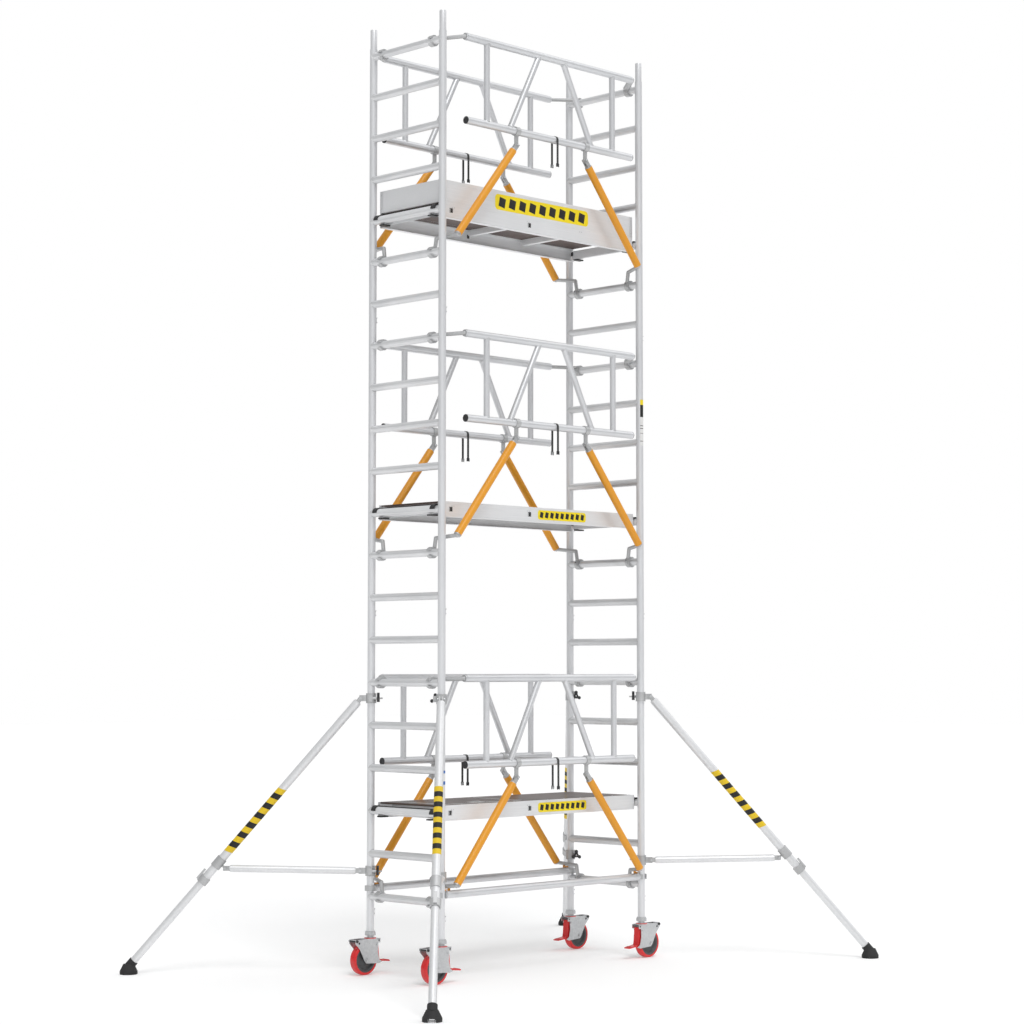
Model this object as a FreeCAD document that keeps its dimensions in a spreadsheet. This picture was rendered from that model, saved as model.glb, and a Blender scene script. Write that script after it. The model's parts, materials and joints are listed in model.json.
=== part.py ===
import FreeCAD, Part
import math
import os
import Sketcher

from FreeCAD import Placement, Rotation, Vector

# Mobile tower scaffold, millimetres.  X runs along the tower's length, Y across its width and Z up.
# The origin is on the floor, in the middle of the tower.
os.makedirs("parts", exist_ok=True)
doc = FreeCAD.newDocument("mobile_tower")

# ---------------------------------------------------------------- driving sizes
SIZES = [
    ("tower_length", 1907.0),         # stile centre to stile centre, along X
    ("tower_width", 679.0),           # stile centre to stile centre, along Y
    ("leg_end_height", 281.0),        # floor to the lower end of the bottom stiles
    ("stile_diameter", 50.8),
    ("stile_wall", 2.0),
    ("rung_diameter", 50.0),
    ("rung_wall", 1.8),
    ("rung_pitch", 280.0),
    ("rungs_per_frame", 7),
    ("first_rung_height", 227.0),     # stile end to the frame's first rung
    ("spigot_wall", 2.5),
    ("spigot_gap", 1.0),              # the spigot's free end to the stile bore, on the radius
    ("spigot_seat_gap", 0.2),         # the spigot's pressed end to the stile bore, on the radius
    ("spigot_seat", 150.0),
    ("spigot_rise", 133.0),
    ("clip_hole_diameter", 10.0),
    ("clip_height", 112.0),           # stile end to the frame lock's pin
    ("claw_gap", 0.4),                # claw to the tube it grips, on the radius
    ("claw_wall", 12.0),
    ("claw_width", 34.0),
    ("plug_gap", 0.3),                # a casting's plug to the tube it sits in, on the radius
    ("plug_length", 45.0),
    ("rail_diameter", 50.0),
    ("rail_wall", 2.0),
    ("rail_length", 1600.0),
    ("rail_side_gap", 10.0),          # stile surface to the guardrail's surface
    ("lower_rail_rise", 875.0),       # above the guardrail's base rung
    ("top_rail_lift", 30.0),          # above the guardrail's top rung
    ("guardrail_pitches", 5),         # base rung to top rung
    ("guardrail_claw_inset", 94.0),   # stile centre to claw centre, along the rung
    ("strut_diameter", 40.0),
    ("strut_wall", 2.0),
    ("strut_place", 610.0),
    ("diagonal_top", 115.0),
    ("diagonal_foot", 400.0),
    ("collar_place", 335.0),
    ("collar_wall", 5.5),
    ("collar_width", 38.0),
    ("head_cheek_width", 26.0),
    ("head_slot_width", 10.6),
    ("head_reach", 52.0),             # the leg's pivot pin to the start of its tube
    ("leg_pin_drop", 95.0),           # lower rail to the leg's pivot pin
    ("leg_pin_diameter", 12.0),
    ("brace_leg_diameter", 51.0),
    ("brace_leg_wall", 2.0),
    ("leg_foot_inset", 83.0),         # stile centre to the leg's lower end, along X
    ("leg_foot_rise", 117.0),
    ("arm_diameter", 26.0),
    ("arm_gap", 4.0),                 # lower arm to the horizontal brace that it passes over
    ("strap_width", 18.0),
    ("strap_thickness", 2.0),
    ("strap_drop", 165.0),
    ("strap_place", 35.0),            # guardrail middle to the strap, along the lower rail
    ("brace_diameter", 50.0),
    ("brace_wall", 2.0),
    ("platform_side_gap", 14.0),      # stile surface to the platform's side
    ("platform_end_gap", 3.0),
    ("beam_depth", 100.0),
    ("beam_above_rung", 55.0),
    ("beam_flange", 36.0),
    ("beam_wall", 3.0),
    ("beam_hole_width", 24.0),
    ("beam_hole_reach", 364.0),       # hatch middle to each square hole in the beam
    ("cross_member_width", 36.0),
    ("cross_member_depth", 40.0),
    ("cross_member_wall", 2.5),
    ("deck_thickness", 12.0),
    ("hatch_length", 672.0),
    ("hatch_width", 430.0),
    ("hatch_middle", -470.0),
    ("hatch_gap", 2.0),
    ("hinge_radius", 5.0),
    ("pin_gap", 0.05),                # turning pin to its bore, on the radius
    ("hook_wall", 3.5),
    ("hook_cap_wall", 11.0),
    ("toe_board_height", 147.0),
    ("toe_board_thickness", 18.0),
    ("wheel_radius", 100.0),
    ("wheel_width", 50.0),
    ("wheel_trail", 57.0),
    ("tyre_depth", 17.0),
    ("axle_radius", 6.0),
    ("fork_inside", 59.0),
    ("fork_wall", 4.0),
    ("fork_height", 235.0),
    ("race_height", 6.0),
    ("kingpin_radius", 10.0),
    ("swivel_race_radius", 34.0),
    ("spindle_gap", 0.9),             # jack spindle to stile bore, on the radius
    ("spindle_length", 520.0),
    ("spindle_wall", 5.0),
    ("nut_gap", 0.4),                 # the stile's lower end to the nut below it
    ("nut_height", 28.0),
    ("nut_radius", 33.0),
    ("nut_span", 96.0),
    ("pedal_width", 46.0),
    ("pedal_pivot_place", -30.0),     # from the swivel axis, along the caster's trail
    ("pedal_pivot_height", 196.0),
    ("pedal_pivot_radius", 4.0),
    ("outrigger_reach", 1585.0),      # stile centre to the middle of the foot
    ("outrigger_hinge", 68.0),        # stile centre to the outrigger's pivot pins
    ("upper_clamp_drop", 103.0),      # below the sixth rung
    ("lower_clamp_rise", 165.0),      # above the first rung
    ("outer_leg_diameter", 55.0),
    ("outer_leg_wall", 2.2),
    ("outer_leg_length", 1575.0),
    ("inner_leg_gap", 0.3),
    ("inner_leg_wall", 2.0),
    ("inner_leg_overlap", 470.0),
    ("outrigger_arm_diameter", 48.0),
    ("sleeve_place", 1425.0),         # upper pivot to the sleeve, along the outer leg
    ("clamp_wall", 8.0),
    ("clamp_height", 62.0),
    ("clamp_bolt_offset", 41.0),
    ("clamp_bolt_radius", 5.0),
    ("fork_width", 28.0),             # the forked end of an outrigger's leg or arm
    ("fork_slot_width", 12.6),
    ("fork_reach", 36.5),             # pivot pin to the start of the leg's or arm's tube
    ("knob_place", 41.0),             # the clamp's middle to the knob, along the bolt
    ("knob_radius", 37.0),
    ("knob_thickness", 17.0),
    ("foot_radius", 58.0),
    ("foot_pad_height", 22.0),
    ("foot_dome_height", 44.0),
]
sheet = doc.addObject("Spreadsheet::Sheet", "Sizes")
for row, (word, number) in enumerate(SIZES, 1):
    sheet.set(f"A{row}", word)
    sheet.set(f"B{row}", str(number))
    sheet.setAlias(f"B{row}", word)
doc.recompute()


def mm(word):
    """A size from the sheet, as a number."""
    return float(sheet.get(word))


# ---------------------------------------------------------------- places worked out from the sizes
half_length = mm("tower_length") / 2
half_width = mm("tower_width") / 2
stile_radius = mm("stile_diameter") / 2
rung_radius = mm("rung_diameter") / 2
pitch = mm("rung_pitch")
rungs_per_frame = int(mm("rungs_per_frame"))
frame_height = pitch * rungs_per_frame
first_rung = mm("leg_end_height") + mm("first_rung_height")
guardrail_plane = half_width + stile_radius + mm("rail_side_gap") + mm("rail_diameter") / 2
platform_side = half_width - stile_radius - mm("platform_side_gap")
platform_end = half_length - rung_radius - mm("platform_end_gap")
X_AXIS = Vector(1, 0, 0)
Y_AXIS = Vector(0, 1, 0)
Z_AXIS = Vector(0, 0, 1)
LEVELS = ("lower", "middle", "upper")
CORNERS = {
    "left_far": (-1, 1, 135),
    "left_near": (-1, -1, 225),
    "right_far": (1, 1, 45),
    "right_near": (1, -1, -45),
}
sub_parts = []


def rung_height(number):
    """Height of a rung's centre; the lowest rung is number 0."""
    return first_rung + pitch * number


# ---------------------------------------------------------------- modelling helpers
def bind(thing, prop, value):
    """Set a property from an expression on the sheet, or from a number."""
    if isinstance(value, str):
        thing.setExpression(prop, value)
    else:
        setattr(thing, prop, value)


def rod(name, radius, start, end):
    """Round bar between two points."""
    bar = doc.addObject("Part::Cylinder", name)
    bind(bar, "Radius", radius)
    bar.Height = (end - start).Length
    bar.Placement = Placement(start, Rotation(Z_AXIS, end - start))
    return bar


def ball(name, radius, centre):
    """Ball about its centre."""
    sphere = doc.addObject("Part::Sphere", name)
    bind(sphere, "Radius", radius)
    sphere.Placement = Placement(centre, Rotation())
    return sphere


def block(name, size_xyz, centre, rotation=None):
    """Rectangular block about its centre."""
    turn = rotation or Rotation()
    box = doc.addObject("Part::Box", name)
    bind(box, "Length", size_xyz[0])
    bind(box, "Width", size_xyz[1])
    bind(box, "Height", size_xyz[2])
    doc.recompute([box])
    corner = Vector(box.Length.Value, box.Width.Value, box.Height.Value) * 0.5
    box.Placement = Placement(centre - turn.multVec(corner), turn)
    return box


def cut(name, base, tool):
    """Base with the tool taken away."""
    result = doc.addObject("Part::Cut", name)
    result.Base = base
    result.Tool = tool
    return result


def fuse(name, pieces):
    """One solid from several."""
    result = doc.addObject("Part::MultiFuse", name)
    result.Shapes = pieces
    result.Refine = True
    return result


def group(name, pieces):
    """Separate solids kept together."""
    result = doc.addObject("Part::Compound", name)
    result.Links = pieces
    return result


def tube(name, diameter, wall, start, end):
    """Hollow round tube, its diameter and wall named on the sheet."""
    outside = rod(name + "_outside", f"Sizes.{diameter} / 2", start, end)
    bore = rod(name + "_bore", f"Sizes.{diameter} / 2 - Sizes.{wall}", start, end)
    return cut(name, outside, bore)


def body_sketch(body, role, name, offset=0.0):
    """Sketch on one of the body's own origin planes."""
    sketch = body.newObject("Sketcher::SketchObject", name)
    plane = next(f for f in body.Origin.OriginFeatures if f.Role == role)
    sketch.AttachmentSupport = [(plane, "")]
    sketch.MapMode = "FlatFace"
    sketch.AttachmentOffset = Placement(Vector(0, 0, offset), Rotation())
    return sketch


def outline(sketch, points):
    """Closed outline of straight edges."""
    corners = [Vector(x, y, 0) for x, y in points]
    first = sketch.GeometryCount
    for here, there in zip(corners, corners[1:] + corners[:1]):
        sketch.addGeometry(Part.LineSegment(here, there), False)
    for index in range(len(corners)):
        following = (index + 1) % len(corners)
        joined = Sketcher.Constraint("Coincident", first + index, 2, first + following, 1)
        sketch.addConstraint(joined)


def circle(sketch, x, y, radius):
    """Full circle."""
    sketch.addGeometry(Part.Circle(Vector(x, y, 0), Z_AXIS, radius), False)


def pad(body, sketch, length, name, centred=True):
    """Pad a sketch, both ways or along its normal."""
    feature = body.newObject("PartDesign::Pad", name)
    feature.Profile = sketch
    bind(feature, "Length", length)
    if centred:
        feature.SideType = "Symmetric"
    return feature


def pocket(body, sketch, name):
    """Cut a sketch through the whole body, both ways."""
    feature = body.newObject("PartDesign::Pocket", name)
    feature.Profile = sketch
    feature.Type = "ThroughAll"
    feature.SideType = "Symmetric"
    return feature


def revolve(body, sketch):
    """Full turn of a sketch about the body's Y axis."""
    turned = body.newObject("PartDesign::Revolution", "turned")
    turned.Profile = sketch
    axis = next(f for f in body.Origin.OriginFeatures if f.Role == "Y_Axis")
    turned.ReferenceAxis = (axis, [""])
    turned.Angle = 360


def sub_part(label, pieces, place=None):
    """A named sub-part: one or more solids at their place in the tower."""
    part = group("sub_part", pieces)
    part.Label = label
    part.Placement = place or Placement()
    sub_parts.append(part)


# ---------------------------------------------------------------- ladder frames
def ladder_frame():
    """Two stiles, coped rungs, spigots with a lock hole, and a spring lock on each stile."""
    pieces = []
    envelopes = []
    for side in (-1, 1):
        foot = Vector(0, side * half_width, 0)
        top = foot + Z_AXIS * frame_height
        pieces.append(tube("stile", "stile_diameter", "stile_wall", foot, top))
        envelopes.append(rod("stile_envelope", "Sizes.stile_diameter / 2", foot, top))
        spigot_radius = "Sizes.stile_diameter / 2 - Sizes.stile_wall - Sizes.spigot_gap"
        seat = top - Z_AXIS * mm("spigot_seat")
        tip = top + Z_AXIS * mm("spigot_rise")
        seat_radius = "Sizes.stile_diameter / 2 - Sizes.stile_wall - Sizes.spigot_seat_gap"
        pressed = rod("spigot_pressed_end", seat_radius, seat, top)
        outside = fuse("spigot_outside", [rod("spigot_free_end", spigot_radius, seat, tip), pressed])
        bore = rod("spigot_bore", spigot_radius + " - Sizes.spigot_wall", seat, tip)
        hole_middle = top + Z_AXIS * mm("clip_height")
        reach = X_AXIS * stile_radius
        hole = rod("lock_hole", "Sizes.clip_hole_diameter / 2", hole_middle, hole_middle + reach)
        pieces.append(cut("spigot", cut("spigot_tube", outside, bore), hole))
        clip_middle = foot + Z_AXIS * mm("clip_height")
        clip_start = clip_middle + X_AXIS * (stile_radius + mm("claw_gap"))
        clip_end = clip_start + X_AXIS * 17
        clip_pin = rod("lock_pin", "Sizes.clip_hole_diameter / 2 - 1", clip_start, clip_end)
        clip_plate = block("lock_plate", (4, 16, 34), clip_start + Vector(4, 0, 7))
        pieces.append(fuse("frame_lock", [clip_pin, clip_plate]))
    stiles = group("stile_pair", envelopes)
    for number in range(rungs_per_frame):
        height = mm("first_rung_height") + pitch * number
        near = Vector(0, -half_width, height)
        far = Vector(0, half_width, height)
        pieces.append(cut("rung", tube("rung_tube", "rung_diameter", "rung_wall", near, far), stiles))
    return pieces


frame_pieces = ladder_frame()
for side_name, side_sign in (("left", -1), ("right", 1)):
    for level, level_name in enumerate(LEVELS):
        base_height = mm("leg_end_height") + frame_height * level
        place = Placement(Vector(side_sign * half_length, 0, base_height), Rotation())
        sub_part(f"ladder_frame_{side_name}_{level_name}", frame_pieces, place)


# ---------------------------------------------------------------- claws
def rung_claw(middle, outward):
    """Cast claw round a rung along Y; its mouth faces outward along X."""
    grip = rung_radius + mm("claw_gap")
    across = Y_AXIS * (mm("claw_width") / 2)
    shell = rod("claw_outside", grip + mm("claw_wall"), middle - across, middle + across)
    bore = rod("claw_bore", grip, middle - across, middle + across)
    mouth_size = (grip * 2, "Sizes.claw_width + 2", grip * 1.3)
    mouth = block("claw_mouth", mouth_size, middle + Vector(outward * grip * 1.35, 0, -grip * 0.1))
    return cut("claw", cut("claw_ring", shell, bore), mouth)


def stile_claw(middle, outward):
    """Cast claw round a stile; its mouth faces outward along Y."""
    grip = stile_radius + mm("claw_gap")
    up = Z_AXIS * (mm("claw_width") / 2)
    shell = rod("stile_claw_outside", grip + mm("claw_wall"), middle - up, middle + up)
    bore = rod("stile_claw_bore", grip, middle - up, middle + up)
    mouth_size = (grip * 1.3, grip * 2, "Sizes.claw_width + 2")
    mouth = block("stile_claw_mouth", mouth_size, middle + Vector(0, outward * grip * 1.35, 0))
    return cut("stile_claw", cut("stile_claw_ring", shell, bore), mouth)


# ---------------------------------------------------------------- guardrails
top_rail_height = pitch * mm("guardrail_pitches") + mm("top_rail_lift")
lower_rail_height = mm("lower_rail_rise")
rail_reach = mm("rail_length") / 2
claw_plane = guardrail_plane - half_width + mm("guardrail_claw_inset")
leg_pin_height = lower_rail_height - mm("leg_pin_drop")
leg_foot_place = half_length - mm("leg_foot_inset")
brace_rise = rung_radius + mm("brace_diameter") / 2 + mm("claw_gap") * 5
arm_clear_height = brace_rise + mm("brace_diameter") / 2 + mm("arm_diameter") / 2 + mm("arm_gap")


def leg_line(sign):
    """Pivot and lower end of a brace leg, and the direction between them."""
    pivot = Vector(sign * mm("collar_place"), 0, leg_pin_height)
    foot = Vector(sign * leg_foot_place, 0, mm("leg_foot_rise"))
    return pivot, foot, (foot - pivot).normalize()


def guardrail_unit():
    """Welded rails and struts, leg collars with pivot pins, and cast arms with claws."""
    pieces = []
    envelopes = []
    for height in (lower_rail_height, top_rail_height):
        start = Vector(-rail_reach, 0, height)
        end = Vector(rail_reach, 0, height)
        pieces.append(tube("rail", "rail_diameter", "rail_wall", start, end))
        envelopes.append(rod("rail_envelope", "Sizes.rail_diameter / 2", start, end))
    rails = group("rail_pair", envelopes)
    for sign in (-1, 1):
        strut_foot = Vector(sign * mm("strut_place"), 0, lower_rail_height)
        strut_top = Vector(sign * mm("strut_place"), 0, top_rail_height)
        strut = tube("strut_tube", "strut_diameter", "strut_wall", strut_foot, strut_top)
        pieces.append(cut("strut", strut, rails))
        low = Vector(sign * mm("diagonal_foot"), 0, lower_rail_height)
        high = Vector(sign * mm("diagonal_top"), 0, top_rail_height)
        diagonal = tube("diagonal_tube", "strut_diameter", "strut_wall", low, high)
        pieces.append(cut("diagonal", diagonal, rails))
        pieces.extend(leg_hanger(sign))
        pieces.append(lower_arm(sign))
        pieces.append(top_arm(sign))
    return pieces


def leg_hanger(sign):
    """Collar on the lower rail with a lug, the leg's forked head and the pin through both."""
    pivot, foot, along = leg_line(sign)
    middle = Vector(pivot.x, 0, lower_rail_height)
    across = X_AXIS * (mm("collar_width") / 2)
    grip = mm("rail_diameter") / 2 + mm("claw_gap")
    shell = rod("collar_outside", grip + mm("collar_wall"), middle - across, middle + across)
    lug_height = mm("leg_pin_drop") + 16 - grip
    lug = block("collar_lug", (30, 10, lug_height), middle - Z_AXIS * (grip + lug_height / 2))
    bore = rod("collar_bore", grip, middle - across, middle + across)
    hole_reach = Y_AXIS * 20
    hole_radius = "Sizes.leg_pin_diameter / 2 + Sizes.pin_gap"
    pin_hole = rod("lug_hole", hole_radius, pivot - hole_reach, pivot + hole_reach)
    tools = group("collar_holes", [bore, pin_hole])
    collar = cut("collar", fuse("collar_blank", [shell, lug]), tools)
    pin = rod("leg_pin", "Sizes.leg_pin_diameter / 2", pivot - Y_AXIS * 17, pivot + Y_AXIS * 17)
    turn = Rotation(Z_AXIS, along)
    cheeks = block("head_cheeks", (30, "Sizes.head_cheek_width", 66), pivot + along * 18, turn)
    slot = block("head_slot", (60, "Sizes.head_slot_width", 50), pivot + along * 5, turn)
    plug_radius = "Sizes.brace_leg_diameter / 2 - Sizes.brace_leg_wall - Sizes.plug_gap"
    plug_start = pivot + along * (mm("head_reach") - 7)
    plug = rod("head_plug", plug_radius, plug_start, plug_start + along * mm("plug_length"))
    pocket_tools = group("head_tools", [slot, pin_hole])
    head = cut("leg_head", fuse("head_blank", [cheeks, plug]), pocket_tools)
    return [collar, pin, head]


def lower_arm(sign):
    """Cast elbow from the leg's lower end inwards to the claw on the base rung."""
    pivot, foot, along = leg_line(sign)
    claw_middle = Vector(sign * half_length, claw_plane, 0)
    grip = rung_radius + mm("claw_gap")
    reach = grip + mm("claw_wall") * 0.5
    root = claw_middle + Vector(-sign * reach * 0.7, 0, reach * 0.7)
    bend = claw_middle + Vector(-sign * reach * 0.75, -12, arm_clear_height)
    plug_radius = "Sizes.brace_leg_diameter / 2 - Sizes.brace_leg_wall - Sizes.plug_gap"
    plug = rod("elbow_plug", plug_radius, foot - along * mm("plug_length"), foot + along * 8)
    knuckle = ball("elbow_knuckle", "Sizes.arm_diameter / 2 + 3", foot + along * 8)
    arm = rod("elbow_arm", "Sizes.arm_diameter / 2", foot + along * 8, bend)
    bend_ball = ball("elbow_bend", "Sizes.arm_diameter / 2", bend)
    drop = rod("elbow_drop", "Sizes.arm_diameter / 2", bend, root)
    gripped = rod("gripped_rung", grip, claw_middle - Y_AXIS * 80, claw_middle + Y_AXIS * 80)
    lever = cut("elbow", fuse("elbow_blank", [plug, knuckle, arm, bend_ball, drop]), gripped)
    return fuse("lower_arm", [lever, rung_claw(claw_middle, sign)])


def top_arm(sign):
    """Arm from the top rail to the claw on the top rung: a thin rod at the left, an elbow at the right."""
    claw_middle = Vector(sign * half_length, claw_plane, pitch * mm("guardrail_pitches"))
    grip = rung_radius + mm("claw_gap")
    reach = grip + mm("claw_wall") * 0.5
    root = claw_middle + Vector(-sign * reach * 0.8, 0, reach * 0.6)
    rail_end = Vector(sign * rail_reach, 0, top_rail_height)
    plug_radius = "Sizes.rail_diameter / 2 - Sizes.rail_wall - Sizes.plug_gap"
    plug = rod("top_plug", plug_radius, rail_end - X_AXIS * sign * 40, rail_end + X_AXIS * sign * 12)
    arm_radius = "Sizes.arm_diameter / 2" if sign < 0 else "Sizes.rail_diameter / 2 - 4"
    knuckle = ball("top_knuckle", arm_radius, rail_end + X_AXIS * sign * 12)
    arm = rod("top_arm_bar", arm_radius, rail_end + X_AXIS * sign * 12, root)
    gripped = rod("gripped_top_rung", grip, claw_middle - Y_AXIS * 80, claw_middle + Y_AXIS * 80)
    lever = cut("top_lever", fuse("top_lever_blank", [plug, knuckle, arm]), gripped)
    return fuse("top_arm", [lever, rung_claw(claw_middle, sign)])


guardrail_pieces = guardrail_unit()
leg_pieces = []
for leg_sign in (-1, 1):
    leg_pivot, leg_foot, leg_along = leg_line(leg_sign)
    leg_start = leg_pivot + leg_along * mm("head_reach")
    leg_pieces.append(tube("brace_leg", "brace_leg_diameter", "brace_leg_wall", leg_start, leg_foot))
leg_pair = group("brace_leg_pair", leg_pieces)
placed_legs = []


def guardrail_place(side_sign, level):
    """Place of a guardrail set; the far side's sets are turned by half a turn."""
    base_rung = rungs_per_frame * level + (1 if level else 0)
    at = Vector(0, side_sign * guardrail_plane, rung_height(base_rung))
    return Placement(at, Rotation(Z_AXIS, 0 if side_sign < 0 else 180))


for side_name, side_sign in (("near", -1), ("far", 1)):
    for level, level_name in enumerate(LEVELS):
        place = guardrail_place(side_sign, level)
        sub_part(f"guardrail_{side_name}_{level_name}", guardrail_pieces, place)
        legs = group("placed_legs", [leg_pair])
        legs.Placement = place
        placed_legs.append(legs)
sub_part("guardrail_legs", placed_legs)


# ---------------------------------------------------------------- horizontal braces
def horizontal_brace(sign):
    """Tube along the tower's foot, with a claw round the stile at each end."""
    height = rung_height(0) + brace_rise
    reach = half_length - stile_radius - mm("claw_gap") - mm("claw_wall")
    row = sign * half_width
    start = Vector(-reach, row, height)
    end = Vector(reach, row, height)
    pieces = [tube("brace", "brace_diameter", "brace_wall", start, end)]
    for end_sign in (-1, 1):
        middle = Vector(end_sign * half_length, row, height)
        claw = stile_claw(middle, sign)
        plug_radius = "Sizes.brace_diameter / 2 - Sizes.brace_wall - Sizes.plug_gap"
        inner = Vector(end_sign * (reach - mm("plug_length")), row, height)
        outer = Vector(end_sign * (reach + mm("claw_wall") * 0.6), row, height)
        plug = rod("brace_plug", plug_radius, inner, outer)
        low = middle - Z_AXIS * 60
        high = middle + Z_AXIS * 60
        gripped = rod("gripped_stile", stile_radius + mm("claw_gap"), low, high)
        pieces.append(fuse("brace_claw", [claw, cut("brace_root", plug, gripped)]))
    return pieces


sub_part("horizontal_braces", horizontal_brace(-1) + horizontal_brace(1))


# ---------------------------------------------------------------- platforms
def side_beam():
    """Extruded channel along the platform's side, open towards the middle, with two square holes."""
    body = doc.addObject("PartDesign::Body", "side_beam")
    outer = -platform_side
    inner = outer + mm("beam_flange")
    top = mm("beam_above_rung")
    bottom = top - mm("beam_depth")
    wall = mm("beam_wall")
    ledge = top - mm("deck_thickness")
    section = body_sketch(body, "YZ_Plane", "beam_section")
    outline(section, [
        (outer, bottom), (inner, bottom), (inner, bottom + wall), (outer + wall, bottom + wall),
        (outer + wall, ledge - wall), (inner, ledge - wall), (inner, ledge), (outer + wall, ledge),
        (outer + wall, top), (outer, top),
    ])
    pad(body, section, 2 * platform_end, "beam_pad")
    holes = body_sketch(body, "XZ_Plane", "beam_holes", -outer)
    half_hole = mm("beam_hole_width") / 2
    for way in (-1, 1):
        middle = mm("hatch_middle") + way * mm("beam_hole_reach")
        left, right = middle - half_hole, middle + half_hole
        outline(holes, [(left, -8), (right, -8), (right, 18), (left, 18)])
    doc.recompute()
    cutter = body.newObject("PartDesign::Pocket", "beam_pocket")
    cutter.Profile = holes
    cutter.Length = wall * 4
    cutter.SideType = "Symmetric"
    doc.recompute()
    return body


def end_hook(sign):
    """Extruded hook that hangs the platform on a rung: a half ring, a top plate and a web."""
    grip = rung_radius + mm("claw_gap")
    wall = mm("hook_wall")
    outer = grip + wall
    width = 2 * (platform_side - mm("beam_flange") - 3)
    across = Y_AXIS * (width / 2)
    centre = Vector(sign * half_length, 0, 0)
    ring = rod("hook_outside", outer, centre - across, centre + across)
    top_length = half_length - platform_end + 16
    top_middle = centre + Vector(-sign * top_length / 2, 0, outer - wall / 2)
    top = block("hook_top", (top_length, width, wall), top_middle)
    web_depth = mm("beam_depth") * 0.6
    web_place = centre + Vector(-sign * (top_length - wall / 2), 0, outer - web_depth / 2)
    web = block("hook_web", (wall, width, web_depth), web_place)
    bore = rod("hook_bore", grip, centre - across * 1.1, centre + across * 1.1)
    below = block("hook_below", (2 * outer + 2, width + 2, outer), centre - Z_AXIS * (outer / 2))
    half_ring = cut("hook_ring", cut("hook_shell", ring, bore), below)
    return fuse("end_hook", [half_ring, cut("hook_plate", top, bore), web])


def platform_frame():
    """Side beams, end hooks, cross members under the deck, and the hatch's hinge pin."""
    near_beam = side_beam()
    doc.recompute()
    far_beam = doc.addObject("Part::Mirroring", "far_side_beam")
    far_beam.Source = near_beam
    far_beam.Normal = Y_AXIS
    pieces = [near_beam, far_beam, end_hook(-1), end_hook(1)]
    under = mm("beam_above_rung") - mm("deck_thickness") - mm("beam_wall")
    span = 2 * (platform_side - mm("beam_flange")) - 1
    hatch_start = mm("hatch_middle") - mm("hatch_length") / 2
    hatch_end = mm("hatch_middle") + mm("hatch_length") / 2
    width = mm("cross_member_width")
    depth = mm("cross_member_depth")
    wall = mm("cross_member_wall")
    for place in (hatch_start - 12, hatch_end + 12, (hatch_end + platform_end) / 2):
        middle = Vector(place, 0, under + mm("beam_wall") - 0.3 - depth / 2)
        blank = block("cross_member_blank", (width, span, depth), middle)
        hollow = block("cross_member_bore", (width - 2 * wall, span + 2, depth - 2 * wall), middle)
        pieces.append(cut("cross_member", blank, hollow))
    return pieces


hinge_row = mm("hatch_width") / 2 + mm("hinge_radius") + mm("hatch_gap")
hinge_height = mm("beam_above_rung") - mm("hinge_radius")
knuckle_length = mm("hatch_length") / 8


def deck_panel():
    """Plywood deck with the hatch opening, and the frame's half of the hatch hinge."""
    body = doc.addObject("PartDesign::Body", "deck_body")
    side = platform_side - mm("beam_wall") - 1
    end = platform_end - 18
    section = body_sketch(body, "XY_Plane", "deck_outline")
    outline(section, [(-end, -side), (end, -side), (end, side), (-end, side)])
    middle = mm("hatch_middle")
    reach = mm("hatch_length") / 2 + mm("hatch_gap")
    left, right = middle - reach, middle + reach
    near = -mm("hatch_width") / 2 - mm("hatch_gap")
    far = hinge_row + mm("hinge_radius") + mm("hatch_gap")
    outline(section, [(left, near), (right, near), (right, far), (left, far)])
    pad(body, section, "Sizes.deck_thickness", "deck_pad", centred=False)
    underside = mm("beam_above_rung") - mm("deck_thickness") + 0.2
    body.Placement = Placement(Vector(0, 0, underside), Rotation())
    pieces = [body]
    half = mm("hatch_length") / 2
    for sign in (-1, 1):
        start = Vector(middle + sign * (half - 4), hinge_row, hinge_height)
        stop = Vector(middle + sign * (half - knuckle_length), hinge_row, hinge_height)
        barrel = rod("deck_knuckle", "Sizes.hinge_radius", start, stop)
        leaf_reach = mm("hinge_radius") + mm("hatch_gap")
        leaf_middle = (start + stop) * 0.5 + Y_AXIS * (leaf_reach / 2)
        leaf = block("deck_leaf", (knuckle_length - 4, leaf_reach, 3), leaf_middle)
        pieces.append(fuse("deck_hinge", [barrel, leaf]))
    return pieces


def hatch_panel():
    """Hatch cover with its hinge barrel; it swings up about the barrel."""
    middle = mm("hatch_middle")
    top = mm("beam_above_rung")
    cover_size = ("Sizes.hatch_length - 4", "Sizes.hatch_width - 2", "Sizes.deck_thickness - 0.2")
    cover = block("hatch_cover", cover_size, Vector(middle, 0, top - mm("deck_thickness") / 2 + 0.3))
    half = mm("hatch_length") / 2 - knuckle_length - 1
    start = Vector(middle - half, hinge_row, hinge_height)
    stop = Vector(middle + half, hinge_row, hinge_height)
    barrel = rod("hatch_barrel", "Sizes.hinge_radius", start, stop)
    leaf_edge = mm("hatch_width") / 2 - 12
    leaf_middle = Vector(middle, (hinge_row + leaf_edge) / 2, top - mm("deck_thickness") + 3)
    leaf = block("hatch_leaf", (2 * half, hinge_row - leaf_edge, 3), leaf_middle)
    return [fuse("hatch", [cover, barrel, leaf])]


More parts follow.
